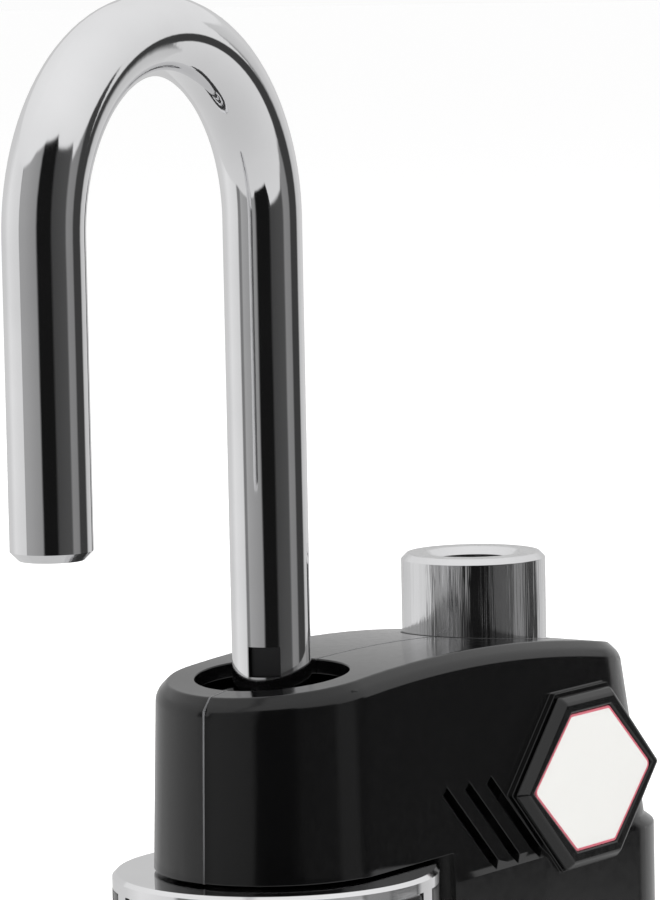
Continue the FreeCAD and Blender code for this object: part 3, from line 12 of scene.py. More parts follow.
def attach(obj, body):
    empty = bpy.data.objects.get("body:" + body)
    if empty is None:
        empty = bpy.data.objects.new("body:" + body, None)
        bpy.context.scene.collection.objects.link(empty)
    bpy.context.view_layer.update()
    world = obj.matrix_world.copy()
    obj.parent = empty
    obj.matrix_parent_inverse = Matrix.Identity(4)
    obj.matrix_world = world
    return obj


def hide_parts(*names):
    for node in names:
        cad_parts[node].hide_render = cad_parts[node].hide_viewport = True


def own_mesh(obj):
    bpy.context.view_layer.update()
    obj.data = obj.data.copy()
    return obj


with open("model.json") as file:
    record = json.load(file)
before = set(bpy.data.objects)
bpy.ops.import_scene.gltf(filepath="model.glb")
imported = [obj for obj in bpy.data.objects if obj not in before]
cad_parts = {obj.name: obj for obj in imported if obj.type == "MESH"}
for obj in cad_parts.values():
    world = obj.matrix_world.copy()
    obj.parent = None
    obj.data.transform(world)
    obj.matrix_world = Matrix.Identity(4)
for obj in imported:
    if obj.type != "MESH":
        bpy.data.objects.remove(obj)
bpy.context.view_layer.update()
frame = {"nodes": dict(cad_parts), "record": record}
MM = 0.001

# ---------------------------------------------------------------- camera and its surroundings

VIEW_AZIMUTH = math.radians(55.2)      # how far the camera stands round to the left of the front
VIEW_ELEVATION = math.radians(5.5)
VIEW_DISTANCE = 0.7556
VIEW_ROLL = math.radians(1.16)
AIM_HEIGHT = 0.1133
AIM_RIGHT = 0.0095
LENS = 200.0
SENSOR = 36.0
FARTHEST_SEEN = 50.0

CAMERA_RIGHT = Vector((math.cos(VIEW_AZIMUTH), -math.sin(VIEW_AZIMUTH), 0))


def add_camera():
    forward = Vector((math.sin(VIEW_AZIMUTH) * math.cos(VIEW_ELEVATION),
                      math.cos(VIEW_AZIMUTH) * math.cos(VIEW_ELEVATION), -math.sin(VIEW_ELEVATION)))
    up = CAMERA_RIGHT.cross(forward)
    rolled_up = up * math.cos(VIEW_ROLL) + CAMERA_RIGHT * math.sin(VIEW_ROLL)
    rolled_right = forward.cross(rolled_up)
    target = Vector((0, 0, AIM_HEIGHT)) + CAMERA_RIGHT * AIM_RIGHT
    data = bpy.data.cameras.new("camera")
    data.sensor_fit = "VERTICAL"
    data.sensor_height = SENSOR
    data.lens = LENS
    data.clip_end = FARTHEST_SEEN
    camera = bpy.data.objects.new("camera", data)
    turn = Matrix((rolled_right, rolled_up, -forward)).transposed()
    camera.matrix_world = Matrix.Translation(target - forward * VIEW_DISTANCE) @ turn.to_4x4()
    bpy.context.scene.collection.objects.link(camera)
    bpy.context.scene.camera = camera


# Brightness of the studio round the lock, by the angle from the camera's direction, to the right in degrees:
# dark cards stand behind the camera and to its right, and the other walls are paler.
STUDIO_WALLS = [
    (-180, 0.6), (-130, 0.7), (-110, 0.85), (-76, 0.75), (-72, 0.2), (-65, 0.22), (-62, 0.4), (-20, 0.3),
    (-15, 0.008), (20, 0.008), (26, 0.06), (62, 0.08), (68, 0.26), (86, 0.24), (91, 0.05), (117, 0.05),
    (124, 0.6), (150, 0.7), (180, 0.6),
]
# How high those walls reach, by the same angle, as the height of a direction one metre long.
WALL_TOPS = [
    (-180, 0.3), (-70, 0.4), (-40, 0.58), (-22, 0.62), (-15, 0.64), (20, 0.6), (26, 0.5), (62, 0.3),
    (68, 0.2), (86, 0.16), (102, 0.15), (105, 0), (118, 0), (126, 0.3), (180, 0.3),
]
# How far those walls reach below the horizon, in the same way.
WALL_FEET = [
    (-180, 0.4), (-70, 0.4), (-40, 0.3), (-20, 0.3), (-15, 0.36), (20, 0.36), (26, 0.16), (62, 0.16),
    (68, 0.2), (84, 0.2), (91, 0.17), (117, 0.17), (124, 0.4), (180, 0.4),
]
EDGE_BLUR = 0.04                       # how softly the walls end at their tops and feet
CEILING_LIGHT = 0.92
GROUND_LIGHT = 0.62
SOFT_LIGHT = 0.78
BACKDROP = 0.975                       # the background that the camera sees


def grey(amount):
    return amount, amount, amount, 1


def calculate(nodes, links, operation, *values):
    """A Math node on sockets or plain numbers."""
    node = nodes.new("ShaderNodeMath")
    node.operation = operation
    for socket, value in zip(node.inputs, values):
        if hasattr(value, "is_linked"):
            links.new(value, socket)
        else:
            socket.default_value = value
    return node.outputs[0]


def graded(nodes, links, share, stops):
    """A colour ramp of greys, from pairs of position and brightness."""
    node = nodes.new("ShaderNodeValToRGB")
    ramp = node.color_ramp
    while len(ramp.elements) > 1:
        ramp.elements.remove(ramp.elements[-1])
    for index, (position, amount) in enumerate(stops):
        element = ramp.elements[0] if index == 0 else ramp.elements.new(position)
        element.position = position
        element.color = grey(amount)
    links.new(share, node.inputs["Fac"])
    return node.outputs["Color"]


def remap(nodes, links, value, low, high, start=0.3, end=0.7, interpolation="LINEAR"):
    """From low to high as the value goes from start to end, which default to a noise's usual range."""
    node = nodes.new("ShaderNodeMapRange")
    node.interpolation_type = interpolation
    node.inputs["From Min"].default_value = start
    node.inputs["From Max"].default_value = end
    node.inputs["To Min"].default_value = low
    node.inputs["To Max"].default_value = high
    links.new(value, node.inputs["Value"])
    return node.outputs[0]


def studio_colour(nodes, links):
    """Walls that end at their tops and feet, under a pale ceiling and over a paler ground."""
    direction = nodes.new("ShaderNodeTexCoord")
    turned = nodes.new("ShaderNodeVectorRotate")
    turned.rotation_type = "Z_AXIS"
    turned.inputs["Angle"].default_value = VIEW_AZIMUTH
    links.new(direction.outputs["Generated"], turned.inputs["Vector"])
    split = nodes.new("ShaderNodeSeparateXYZ")
    links.new(turned.outputs["Vector"], split.inputs[0])
    across, height = split.outputs["X"], split.outputs["Z"]
    towards_camera = calculate(nodes, links, "MULTIPLY", split.outputs["Y"], -1)
    angle = calculate(nodes, links, "ARCTAN2", across, towards_camera)
    share = remap(nodes, links, angle, 0, 1, -math.pi, math.pi)

    def by_angle(table):
        return graded(nodes, links, share, [((degrees + 180) / 360, amount) for degrees, amount in table])

    walls, tops, feet = by_angle(STUDIO_WALLS), by_angle(WALL_TOPS), by_angle(WALL_FEET)
    raised = remap(nodes, links, height, 0, 1, -1, 1)
    open_space = graded(nodes, links, raised, [(0, GROUND_LIGHT), (1, CEILING_LIGHT)])
    above = calculate(nodes, links, "SUBTRACT", height, tops)
    foot_level = calculate(nodes, links, "MULTIPLY", feet, -1)
    below = calculate(nodes, links, "MULTIPLY_ADD", height, -1, foot_level)
    over = remap(nodes, links, above, 0, 1, 0, EDGE_BLUR, "SMOOTHSTEP")
    under = remap(nodes, links, below, 0, 1, 0, EDGE_BLUR, "SMOOTHSTEP")
    outside = calculate(nodes, links, "MAXIMUM", over, under)
    mixed = nodes.new("ShaderNodeMixRGB")
    links.new(outside, mixed.inputs["Fac"])
    links.new(walls, mixed.inputs["Color1"])
    links.new(open_space, mixed.inputs["Color2"])
    return mixed.outputs[0]


def add_world():
    """Reflections see the studio, the camera sees a plain pale background, all else gets an even light."""
    world = bpy.data.worlds.new("studio")
    bpy.context.scene.world = world
    world.use_nodes = True
    tree = world.node_tree
    nodes, links = tree.nodes, tree.links
    nodes.clear()

    def background(brightness):
        node = nodes.new("ShaderNodeBackground")
        node.inputs["Color"].default_value = grey(brightness)
        return node

    def choose(ray, otherwise, chosen):
        node = nodes.new("ShaderNodeMixShader")
        links.new(path.outputs[ray], node.inputs["Fac"])
        links.new(otherwise.outputs[0], node.inputs[1])
        links.new(chosen.outputs[0], node.inputs[2])
        return node

    path = nodes.new("ShaderNodeLightPath")
    studio = nodes.new("ShaderNodeBackground")
    links.new(studio_colour(nodes, links), studio.inputs["Color"])
    lit = choose("Is Glossy Ray", background(SOFT_LIGHT), studio)
    shown = choose("Is Camera Ray", lit, background(BACKDROP))
    output = nodes.new("ShaderNodeOutputWorld")
    links.new(shown.outputs[0], output.inputs["Surface"])


# Soft lights: place, the point they face, width and height in metres, and power in watts.
LIGHTS = {
    "key_light": ((-0.9, -0.5, 1.3), (0, 0, 0.08), (0.9, 0.9), 14),
    "fill_light": ((0.5, -1.2, 0.9), (0.03, 0, 0.06), (0.8, 0.8), 7),
    "top_light": ((0.1, 0.3, 1.5), (0, 0, 0.1), (1.2, 1.2), 9),
}


def add_lights():
    for name, (place, aim, size, power) in LIGHTS.items():
        data = bpy.data.lights.new(name, "AREA")
        data.shape = "RECTANGLE"
        data.size, data.size_y = size
        data.energy = power
        light = bpy.data.objects.new(name, data)
        bpy.context.scene.collection.objects.link(light)
        light.location = place
        light.rotation_euler = (Vector(aim) - Vector(place)).to_track_quat("-Z", "Y").to_euler()
        light.visible_glossy = False


FLOOR_SIZE = 40.0
FLOOR_GREY = 0.84
FLOOR_ROUGHNESS = 0.9
FLOOR_GLOW = 0.32


def add_floor():
    mesh = bpy.data.meshes.new("floor")
    half = FLOOR_SIZE / 2
    corners = [(-half, -half, 0), (half, -half, 0), (half, half, 0), (-half, half, 0)]
    mesh.from_pydata(corners, [], [(0, 1, 2, 3)])
    floor = bpy.data.objects.new("floor", mesh)
    bpy.context.scene.collection.objects.link(floor)
    material, shader, nodes, links = new_material("pale_floor")
    shader.inputs["Roughness"].default_value = FLOOR_ROUGHNESS
    shader.inputs["Base Color"].default_value = grey(FLOOR_GREY)
    shader.inputs["Emission Color"].default_value = grey(1)
    shader.inputs["Emission Strength"].default_value = FLOOR_GLOW
    mesh.materials.append(material)
    floor.visible_glossy = False


# ---------------------------------------------------------------- materials

# How fine each texture is, in noise cells to the metre.
CLOUD_SCALE = 60
FLOW_SCALE = 45
PATCH_SCALE = 220
PEEL_SCALE = 260
HAIRLINE_SCALE = 900
RIPPLE_SCALE = 1100
# How deep each bump is.
HAIRLINE_DEPTH = 0.05 * MM
RIPPLE_DEPTH = 0.2 * MM
GRAIN_DEPTH = 0.06 * MM
PEEL_DEPTH = 0.2 * MM
FINE_DEPTH = 0.05 * MM
# How strongly the metals' fine lines show.
HAIRLINE_STRENGTH = 0.05
GRAIN_STRENGTH = 0.2
# A surface's roughness varies between these shares of its plain value.
SMOOTHEST, ROUGHEST = 0.8, 1.25
CLOUDED_SHARE = 0.93
COAT_ROUGHNESS = 0.05
# Painted shade in the shackle's notch and groove, which lie inside this radius and below this level, with a
# short change to plate.
NOTCH_SHADE_RADIUS = (5.6 * MM, 5.9 * MM)
NOTCH_SHADE_TOP = (95 * MM, 98 * MM)
# the dark colour of the painted shade in the notch and groove
NOTCH_PAINTED_SHADE = (0.07, 0.07, 0.072)
NOTCH_ROUGHNESS = 0.35


def new_material(name):
    material = bpy.data.materials.new(name)
    material.use_nodes = True
    nodes, links = material.node_tree.nodes, material.node_tree.links
    return material, nodes["Principled BSDF"], nodes, links


def object_coordinates(nodes, links, scale=(1, 1, 1)):
    source = nodes.new("ShaderNodeTexCoord")
    stretch = nodes.new("ShaderNodeMapping")
    stretch.inputs["Scale"].default_value = scale
    links.new(source.outputs["Object"], stretch.inputs["Vector"])
    return stretch.outputs["Vector"]


def noise(nodes, links, vector, scale, detail, roughness=0.5):
    texture = nodes.new("ShaderNodeTexNoise")
    texture.inputs["Scale"].default_value = scale
    texture.inputs["Detail"].default_value = detail
    texture.inputs["Roughness"].default_value = roughness
    links.new(vector, texture.inputs["Vector"])
    return texture.outputs["Fac"]


def mix_colours(nodes, links, share, first, second):
    """A mix of two colours, each a socket or three plain numbers."""
    node = nodes.new("ShaderNodeMixRGB")
    for socket, item in (("Color1", first), ("Color2", second)):
        if hasattr(item, "is_linked"):
            links.new(item, node.inputs[socket])
        else:
            node.inputs[socket].default_value = (*item, 1)
    links.new(share, node.inputs["Fac"])
    return node.outputs[0]


def add_bump(nodes, links, shader, value, strength, distance, onto=None):
    node = nodes.new("ShaderNodeBump")
    node.inputs["Strength"].default_value = strength
    node.inputs["Distance"].default_value = distance
    links.new(value, node.inputs["Height"])
    if onto is not None:
        links.new(onto, node.inputs["Normal"])
    links.new(node.outputs[0], shader.inputs["Normal"])
    return node.outputs[0]


def chrome(name, tint=(0.86, 0.86, 0.87), smooth=0.03, worn=0.09, streaks=(1, 1, 0.06), ripple=0.0):
    """Bright plate: faint cloudiness, hairline scratches, and broader ripples where asked."""
    material, shader, nodes, links = new_material(name)
    shader.inputs["Metallic"].default_value = 1
    where = object_coordinates(nodes, links)
    cloud = noise(nodes, links, where, CLOUD_SCALE, detail=4)
    dull = tuple(part * CLOUDED_SHARE for part in tint)
    colour = mix_colours(nodes, links, remap(nodes, links, cloud, 0, 1), tint, dull)
    links.new(colour, shader.inputs["Base Color"])
    links.new(remap(nodes, links, cloud, smooth, worn), shader.inputs["Roughness"])
    hairline = noise(nodes, links, object_coordinates(nodes, links, streaks), HAIRLINE_SCALE, detail=2)
    finish = add_bump(nodes, links, shader, hairline, HAIRLINE_STRENGTH, HAIRLINE_DEPTH)
    if ripple:
        wave = noise(nodes, links, object_coordinates(nodes, links, streaks), RIPPLE_SCALE, detail=3)
        add_bump(nodes, links, shader, wave, ripple, RIPPLE_DEPTH, onto=finish)
    return material


def painted_notch_shade(material):
    """Painted shade: a dark colour, with its own roughness, where the leg's notch and groove are cut below
    the plated surface.
    """
    nodes, links = material.node_tree.nodes, material.node_tree.links
    shader = nodes["Principled BSDF"]
    split = nodes.new("ShaderNodeSeparateXYZ")
    links.new(object_coordinates(nodes, links), split.inputs[0])
    reach = nodes.new("ShaderNodeVectorMath")
    reach.operation = "LENGTH"
    flat = nodes.new("ShaderNodeCombineXYZ")
    links.new(split.outputs["X"], flat.inputs["X"])
    links.new(split.outputs["Y"], flat.inputs["Y"])
    links.new(flat.outputs[0], reach.inputs[0])
    inside = remap(nodes, links, reach.outputs["Value"], 1, 0, *NOTCH_SHADE_RADIUS)
    low = remap(nodes, links, split.outputs["Z"], 1, 0, *NOTCH_SHADE_TOP)
    both = calculate(nodes, links, "MULTIPLY", inside, low)
    # the dark colour here is painted shade in the notch and groove, and the roughness changes there too
    for socket, painted_shade in (("Base Color", NOTCH_PAINTED_SHADE), ("Roughness", (NOTCH_ROUGHNESS,) * 3)):
        plated = shader.inputs[socket].links[0].from_socket
        links.new(mix_colours(nodes, links, both, plated, painted_shade), shader.inputs[socket])
    return material


def metal(name, tint, rough=0.32, grain=1200, stretch=(1, 1, 0.08), patchy=0.85):
    """Satin metal: fine grain along one direction, patchy colour and roughness."""
    material, shader, nodes, links = new_material(name)
    shader.inputs["Metallic"].default_value = 1
    where = object_coordinates(nodes, links)
    patches = noise(nodes, links, where, PATCH_SCALE, detail=5)
    dark = tuple(part * patchy for part in tint)
    colour = mix_colours(nodes, links, remap(nodes, links, patches, 0, 1), tint, dark)
    links.new(colour, shader.inputs["Base Color"])
    uneven = remap(nodes, links, patches, rough * SMOOTHEST, rough * ROUGHEST)
    links.new(uneven, shader.inputs["Roughness"])
    lines = noise(nodes, links, object_coordinates(nodes, links, stretch), grain, detail=2)
    add_bump(nodes, links, shader, lines, GRAIN_STRENGTH, GRAIN_DEPTH)
    return material


def plastic(name, tint, rough=0.2, peel=0.08, coat=0.0, mottling=0.8, grain=700):
    """Moulded plastic: slight flow mottling, orange peel, and a finer grain in the roughness."""
    material, shader, nodes, links = new_material(name)
    where = object_coordinates(nodes, links)
    flow = noise(nodes, links, where, FLOW_SCALE, detail=4)
    light = tuple(min(1, part / mottling) for part in tint)
    colour = mix_colours(nodes, links, remap(nodes, links, flow, 0, 1), tint, light)
    links.new(colour, shader.inputs["Base Color"])
    fine = noise(nodes, links, where, grain, detail=4, roughness=0.6)
    uneven = remap(nodes, links, fine, rough * SMOOTHEST, rough * ROUGHEST)
    links.new(uneven, shader.inputs["Roughness"])
    wave = noise(nodes, links, where, PEEL_SCALE, detail=3)
    first = add_bump(nodes, links, shader, wave, peel, PEEL_DEPTH)
    add_bump(nodes, links, shader, fine, peel / 2, FINE_DEPTH, onto=first)
    shader.inputs["Coat Weight"].default_value = coat
    shader.inputs["Coat Roughness"].default_value = COAT_ROUGHNESS
    return material


def make_materials():
    steel = (0.56, 0.56, 0.57)
    return {
        # the shackle's plate, with painted shade in its notch and groove
        "shackle_chrome": painted_notch_shade(chrome("shackle_plate", ripple=0.02)),
        "drum_chrome": chrome("drum_plate", smooth=0.05, worn=0.12, streaks=(0.2, 0.2, 1)),
        "sleeve_chrome": chrome("sleeve_plate", tint=(0.8, 0.8, 0.81), smooth=0.06, worn=0.16,
                                streaks=(1, 1, 0.03), ripple=0.7),
        "bronze": metal("sintered_bronze", (0.62, 0.4, 0.2), rough=0.45, stretch=(1, 1, 1)),
        "brass": metal("turned_brass", (0.75, 0.58, 0.3), rough=0.28, stretch=(0.1, 0.1, 1)),
        "plug_brass": metal("plated_brass", (0.7, 0.66, 0.52), rough=0.25, stretch=(0.1, 0.1, 1)),
        "steel": metal("zinc_plated_steel", steel),
        "spring_steel": metal("drawn_wire", (0.5, 0.5, 0.52), rough=0.25, stretch=(1, 1, 1)),
        "screw_steel": metal("screw_plate", (0.62, 0.62, 0.64), rough=0.25, stretch=(0.2, 0.2, 1)),
        "rubber": plastic("nitrile_rubber", (0.02, 0.02, 0.02), rough=0.7, peel=0.3),
        "white_nylon": plastic("white_nylon", (0.72, 0.72, 0.69), rough=0.4, mottling=0.92),
        "switch_black": plastic("switch_case", (0.02, 0.02, 0.021), rough=0.5, peel=0.2),
        "shell_black": plastic("glossy_abs", (0.0018, 0.0018, 0.0019), rough=0.14, peel=0.04),
        "frame_black": plastic("bezel_abs", (0.0018, 0.0018, 0.0019), rough=0.2, peel=0.05),
        # pale grey that paints the highlight line along the housing's joint, on the lip's thin bead
        "lip_painted_highlight": plastic("joint_lip_painted_highlight", (0.09, 0.09, 0.093), rough=0.35, peel=0.1),
        "enamel": plastic("band_enamel", (0.003, 0.003, 0.003), rough=0.2, peel=0.06),
        "badge_white": plastic("badge_face", (0.6, 0.596, 0.578), rough=0.35, peel=0.01, mottling=0.996),
        "badge_line": plastic("badge_line", (0.42, 0.09, 0.12), rough=0.3, peel=0.05),
        "board_green": plastic("solder_mask", (0.03, 0.14, 0.06), rough=0.3, coat=0.3),
        "sensor_can": metal("sensor_can", (0.68, 0.68, 0.7), rough=0.3),
        "cell_wrap": metal("cell_foil", (0.32, 0.33, 0.37), rough=0.3, stretch=(1, 1, 0.3)),
        "tray_grey": plastic("tray_plastic", (0.2, 0.2, 0.21), rough=0.5, peel=0.2),
    }


def finish_cad_nodes(materials):
    slots = {row["node"]: row["material_slot"] for row in frame["record"]["subparts"]}
    for name, node in frame["nodes"].items():
        for index in range(len(node.material_slots)):
            node.material_slots[index].material = materials[slots[name]]


# ---------------------------------------------------------------- pieces

WELD = 0.002 * MM                      # corners this close are one corner
FLATNESS = math.radians(0.3)           # faces that meet at less than this are one flat
SHARP = math.radians(30)               # edges that turn by more than this are eased
WIDEST_ROUND = 1.0 * MM
ROUND_STEPS = 4
FLATS_FIRST = 100                      # shading weight that keeps the large flats flat

# The housing: where its deck's middle line ends, where the rim, the badge's seat and the joint's plane are,
# and how far the edges in each are eased.
DECK_END = 65.5 * MM
RIM_LEVEL = 71.5 * MM
RIM_REACH = 16.9 * MM
BOSS_FRONT = -18 * MM
JOINT_REACH = 0.2 * MM
RIM_ROUND = 1.0 * MM
SEAT_ROUND = 0.1 * MM
EDGE_ROUND = 0.25 * MM
BEZEL_ROUND = 0.4 * MM

# The lip in the housing's joint: how far each half stands from the joint's plane, and the lip's own size.
PARTING_GAP = 0.06 * MM
LIP_RISE = 0.03 * MM
LIP_HALF_WIDTH = 0.15 * MM
LIP_THICKNESS = 0.3 * MM
FACING = 0.5                           # least part of a direction for a face to count as facing that way


def add_piece(name, mesh, body, material):
    piece = bpy.data.objects.new(name, mesh)
    bpy.context.scene.collection.objects.link(piece)
    mesh.materials.clear()
    mesh.materials.append(material)
    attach(piece, body)
    return piece


def softened(name, node, material, edge_radius):
    """The CAD part again, its flats merged and its sharp edges rounded by what edge_radius gives for each."""
    mesh = frame["nodes"][node].data.copy()
    mesh.name = name
    build = bmesh.new()
    build.from_mesh(mesh)
    bmesh.ops.remove_doubles(build, verts=build.verts, dist=WELD)
    bmesh.ops.dissolve_limit(build, angle_limit=FLATNESS, verts=build.verts, edges=build.edges)
    layers = build.edges.layers.float
    weight = layers.get("bevel_weight_edge") or layers.new("bevel_weight_edge")
    for edge in build.edges:
        if len(edge.link_faces) == 2 and edge.calc_face_angle() > SHARP:
            radius = edge_radius((edge.verts[0].co + edge.verts[1].co) / 2)
            edge[weight] = radius / WIDEST_ROUND
            edge.smooth = radius > 0
    build.to_mesh(mesh)
    build.free()
    if "custom_normal" in mesh.attributes:
        mesh.attributes.remove(mesh.attributes["custom_normal"])
    for polygon in mesh.polygons:
        polygon.use_smooth = True
    piece = add_piece(name, mesh, "housing", material)
    bevel = piece.modifiers.new("rounded_edges", "BEVEL")
    bevel.width = WIDEST_ROUND
    bevel.segments = ROUND_STEPS
    bevel.limit_method = "WEIGHT"
    bevel.use_clamp_overlap = False
    weigh = piece.modifiers.new("even_shading", "WEIGHTED_NORMAL")
    weigh.weight = FLATS_FIRST
    weigh.keep_sharp = True
    bpy.context.view_layer.update()
    shaped = bpy.data.meshes.new_from_object(piece.evaluated_get(bpy.context.evaluated_depsgraph_get()))
    piece.modifiers.clear()
    piece.data = shaped
    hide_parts(node)
    return piece


def shell_edge_radius(place):
    """The joint between the halves stays sharp, the deck's rim is rounded most and the badge's seat least."""
    if abs(place.y) < JOINT_REACH:
        return 0
    along = max(0.0, min(place.x, DECK_END))
    if place.z > RIM_LEVEL and math.hypot(place.x - along, place.y) > RIM_REACH:
        return RIM_ROUND
    if place.y < BOSS_FRONT:
        return SEAT_ROUND
    return EDGE_ROUND


def bezel_edge_radius(place):
    return BEZEL_ROUND


def make_joint_lip(materials):
    """The lip between the housing's halves, in a pale grey that paints the highlight line along the joint: a
    thin line along the joint, over the ends and the deck.
    """
    source = bmesh.new()
    source.from_mesh(frame["nodes"]["front_shell"].data)
    bmesh.ops.remove_doubles(source, verts=source.verts, dist=WELD)
    bmesh.ops.dissolve_limit(source, angle_limit=FLATNESS, verts=source.verts, edges=source.edges)
    build = bmesh.new()
    for edge in source.edges:
        middle = (edge.verts[0].co + edge.verts[1].co) / 2
        if abs(middle.y + PARTING_GAP) > WELD or len(edge.link_faces) != 2:
            continue
        outer = min(edge.link_faces, key=lambda face: abs(face.normal.y)).normal
        left_end = outer.x < -FACING and middle.x < 0
        right_end = outer.x > FACING and middle.x > DECK_END
        on_deck = outer.z > FACING and middle.z > RIM_LEVEL
        if not (left_end or right_end or on_deck):
            continue
        # The right end is the model's farthest point, so there the lip lies inside the CAD box.
        raised = outer * (-LIP_RISE if right_end else LIP_RISE)
        corners = []
        for vertex, side in ((0, -1), (1, -1), (1, 1), (0, 1)):
            point = edge.verts[vertex].co
            corners.append(build.verts.new(Vector((point.x, side * LIP_HALF_WIDTH, point.z)) + raised))
        face = build.faces.new(corners)
        face.normal_update()
        if face.normal.dot(outer) < 0:
            face.normal_flip()
    source.free()
    bmesh.ops.remove_doubles(build, verts=build.verts, dist=5 * WELD)
    bmesh.ops.solidify(build, geom=build.faces, thickness=LIP_THICKNESS)
    bmesh.ops.recalc_face_normals(build, faces=build.faces)
    mesh = bpy.data.meshes.new("joint_lip_painted_highlight")
    build.to_mesh(mesh)
    build.free()
    mesh.shade_smooth()
    add_piece("joint_lip_painted_highlight", mesh, "housing", materials["lip_painted_highlight"])


def front_outline(node):
    """The corners of a flat plate's front face, in order, and the face's outward direction."""
    build = bmesh.new()
    build.from_mesh(frame["nodes"][node].data)
    bmesh.ops.remove_doubles(build, verts=build.verts, dist=WELD)
    bmesh.ops.dissolve_limit(build, angle_limit=FLATNESS, verts=build.verts, edges=build.edges)
    face = max(build.faces, key=lambda side: -side.normal.y * side.calc_area())
    corners = [vertex.co.copy() for vertex in face.verts]
    outward = face.normal.copy()
    build.free()
    return corners, outward


CORNER_STEPS = 5


def rounded_corners(corners, outward, radius):
    """A convex outline with an arc in place of each corner, as points and their inward directions."""
    points = []
    count = len(corners)
    for index, corner in enumerate(corners):
        arriving = (corner - corners[index - 1]).normalized()
        leaving = (corners[(index + 1) % count] - corner).normalized()
        first, last = outward.cross(arriving), outward.cross(leaving)
        centre = corner + (first + last) * radius / (1 + first.dot(last))
        for step in range(CORNER_STEPS + 1):
            inward = first.slerp(last, step / CORNER_STEPS)
            points.append((centre - inward * radius, inward))
    return points


# Sections of the badge's plate and of the line round it: how far in from the outline, and how far out of its
# plane, in millimetres.
PLATE_LAYERS = [(0.02, -1.05), (0.02, 0.15), (0.16, 0.32), (0.42, 0.42), (0.9, 0.45)]
LINE_LAYERS = [(-0.06, -0.5), (-0.06, 0.3), (0.0, 0.42), (0.12, 0.46), (0.28, 0.46), (0.42, 0.4)]
PLATE_CORNER = 1.1 * MM
PLATE_SHARP = math.radians(35)


def layered_plate(name, outline, outward, layers, filled):
    """Loops of the outline, each moved inwards and raised by one layer's millimetres, as one surface."""
    build = bmesh.new()
    loops = []
    for inset, lift in layers:
        moved = [point + inward * (inset * MM) + outward * (lift * MM) for point, inward in outline]
        loops.append([build.verts.new(place) for place in moved])
    for low, high in zip(loops, loops[1:]):
        for index in range(len(low)):
            following = (index + 1) % len(low)
            build.faces.new((low[index], low[following], high[following], high[index]))
    if filled:
        for loop in (loops[0], loops[-1]):
            middle = build.verts.new(sum((vertex.co for vertex in loop), Vector()) / len(loop))
            for index in range(len(loop)):
                build.faces.new((loop[index - 1], loop[index], middle))
    bmesh.ops.recalc_face_normals(build, faces=build.faces)
    mesh = bpy.data.meshes.new(name)
    build.to_mesh(mesh)
    build.free()
    mesh.shade_smooth()
    mesh.set_sharp_from_angle(angle=PLATE_SHARP)
    return mesh


def make_badge(materials):
    """The blank badge plate, domed a little towards its rim, with the coloured line round it."""
    corners, outward = front_outline("badge_inlay")
    outline = rounded_corners(corners, outward, PLATE_CORNER)
    plate = layered_plate("badge_plate", outline, outward, PLATE_LAYERS, filled=True)
    piece = add_piece("badge_plate", plate, "housing", materials["badge_white"])
    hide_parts("badge_inlay")
    line = layered_plate("badge_line", outline, outward, LINE_LAYERS, filled=False)
    add_piece("badge_line", line, "housing", materials["badge_line"])


# The drum's band of pockets, and the enamel that fills them.
BAND_POCKETS = 16
BAND_HALF_ANGLE = math.radians(7.2)
BAND_LOW = 37.65 * MM
BAND_HIGH = 47.15 * MM
ENAMEL_RADIUS = 24.9 * MM
ENAMEL_DEPTH = 0.22 * MM
ENAMEL_CORNER = 1.0 * MM
ENAMEL_COLUMNS = 18
ENAMEL_EDGE_DROP = 0.05 * MM
ENAMEL_EDGE_WIDTH = 0.12 * MM
ENAMEL_SHARP = math.radians(50)


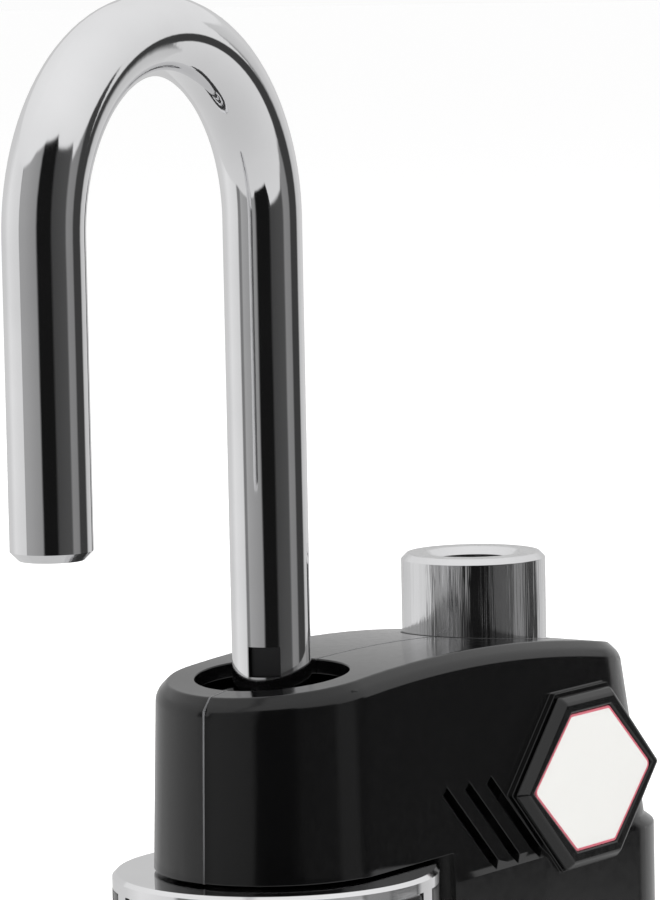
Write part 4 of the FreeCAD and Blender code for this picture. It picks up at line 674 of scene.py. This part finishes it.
def make_band_enamel(materials):
    """Black enamel in each pocket of the drum's band, with rounded corners and a softened rim."""
    build = bmesh.new()
    half = BAND_HALF_ANGLE * ENAMEL_RADIUS
    for pocket in range(BAND_POCKETS):
        middle = 2 * math.pi * pocket / BAND_POCKETS
        columns = []
        for index in range(ENAMEL_COLUMNS + 1):
            along = -math.cos(math.pi * index / ENAMEL_COLUMNS) * half
            into_corner = max(0.0, abs(along) - (half - ENAMEL_CORNER))
            cut = ENAMEL_CORNER - math.sqrt(max(0.0, ENAMEL_CORNER ** 2 - into_corner ** 2))
            turn = middle + along / ENAMEL_RADIUS
            out = Vector((math.cos(turn), math.sin(turn), 0))
            low, high = BAND_LOW + cut, BAND_HIGH - cut
            rows = [(low, ENAMEL_DEPTH), (low, ENAMEL_EDGE_DROP), (low + ENAMEL_EDGE_WIDTH, 0),
                    (high - ENAMEL_EDGE_WIDTH, 0), (high, ENAMEL_EDGE_DROP), (high, ENAMEL_DEPTH)]
            columns.append([build.verts.new(out * (ENAMEL_RADIUS - sunk) + Vector((0, 0, height)))
                            for height, sunk in rows])
        for left, right in zip(columns, columns[1:]):
            for row in range(len(left) - 1):
                build.faces.new((left[row], right[row], right[row + 1], left[row + 1]))
    bmesh.ops.recalc_face_normals(build, faces=build.faces)
    mesh = bpy.data.meshes.new("band_enamel")
    build.to_mesh(mesh)
    build.free()
    mesh.shade_smooth()
    mesh.set_sharp_from_angle(angle=ENAMEL_SHARP)
    add_piece("band_enamel", mesh, "housing", materials["enamel"])


def make_springs(materials):
    """Each spring again, as a copy with its own mesh in place of the CAD part."""
    for joint in frame["record"]["behaviour"]["joints"]:
        for entry in joint.get("deforming_nodes", []):
            node = entry["node"]
            mesh = frame["nodes"][node].data.copy()
            mesh.name = node + "_coils"
            piece = add_piece(mesh.name, mesh, "housing", materials["spring_steel"])
            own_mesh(piece)
            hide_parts(node)


def make_pieces(materials):
    softened("front_housing", "front_shell", materials["shell_black"], shell_edge_radius)
    softened("rear_housing", "rear_shell", materials["shell_black"], shell_edge_radius)
    softened("badge_bezel", "badge_frame", materials["frame_black"], bezel_edge_radius)
    make_joint_lip(materials)
    make_badge(materials)
    make_band_enamel(materials)
    make_springs(materials)


add_camera()
add_world()
add_lights()
add_floor()
materials = make_materials()
finish_cad_nodes(materials)
make_pieces(materials)

bpy.context.scene.view_settings.view_transform = "Standard"
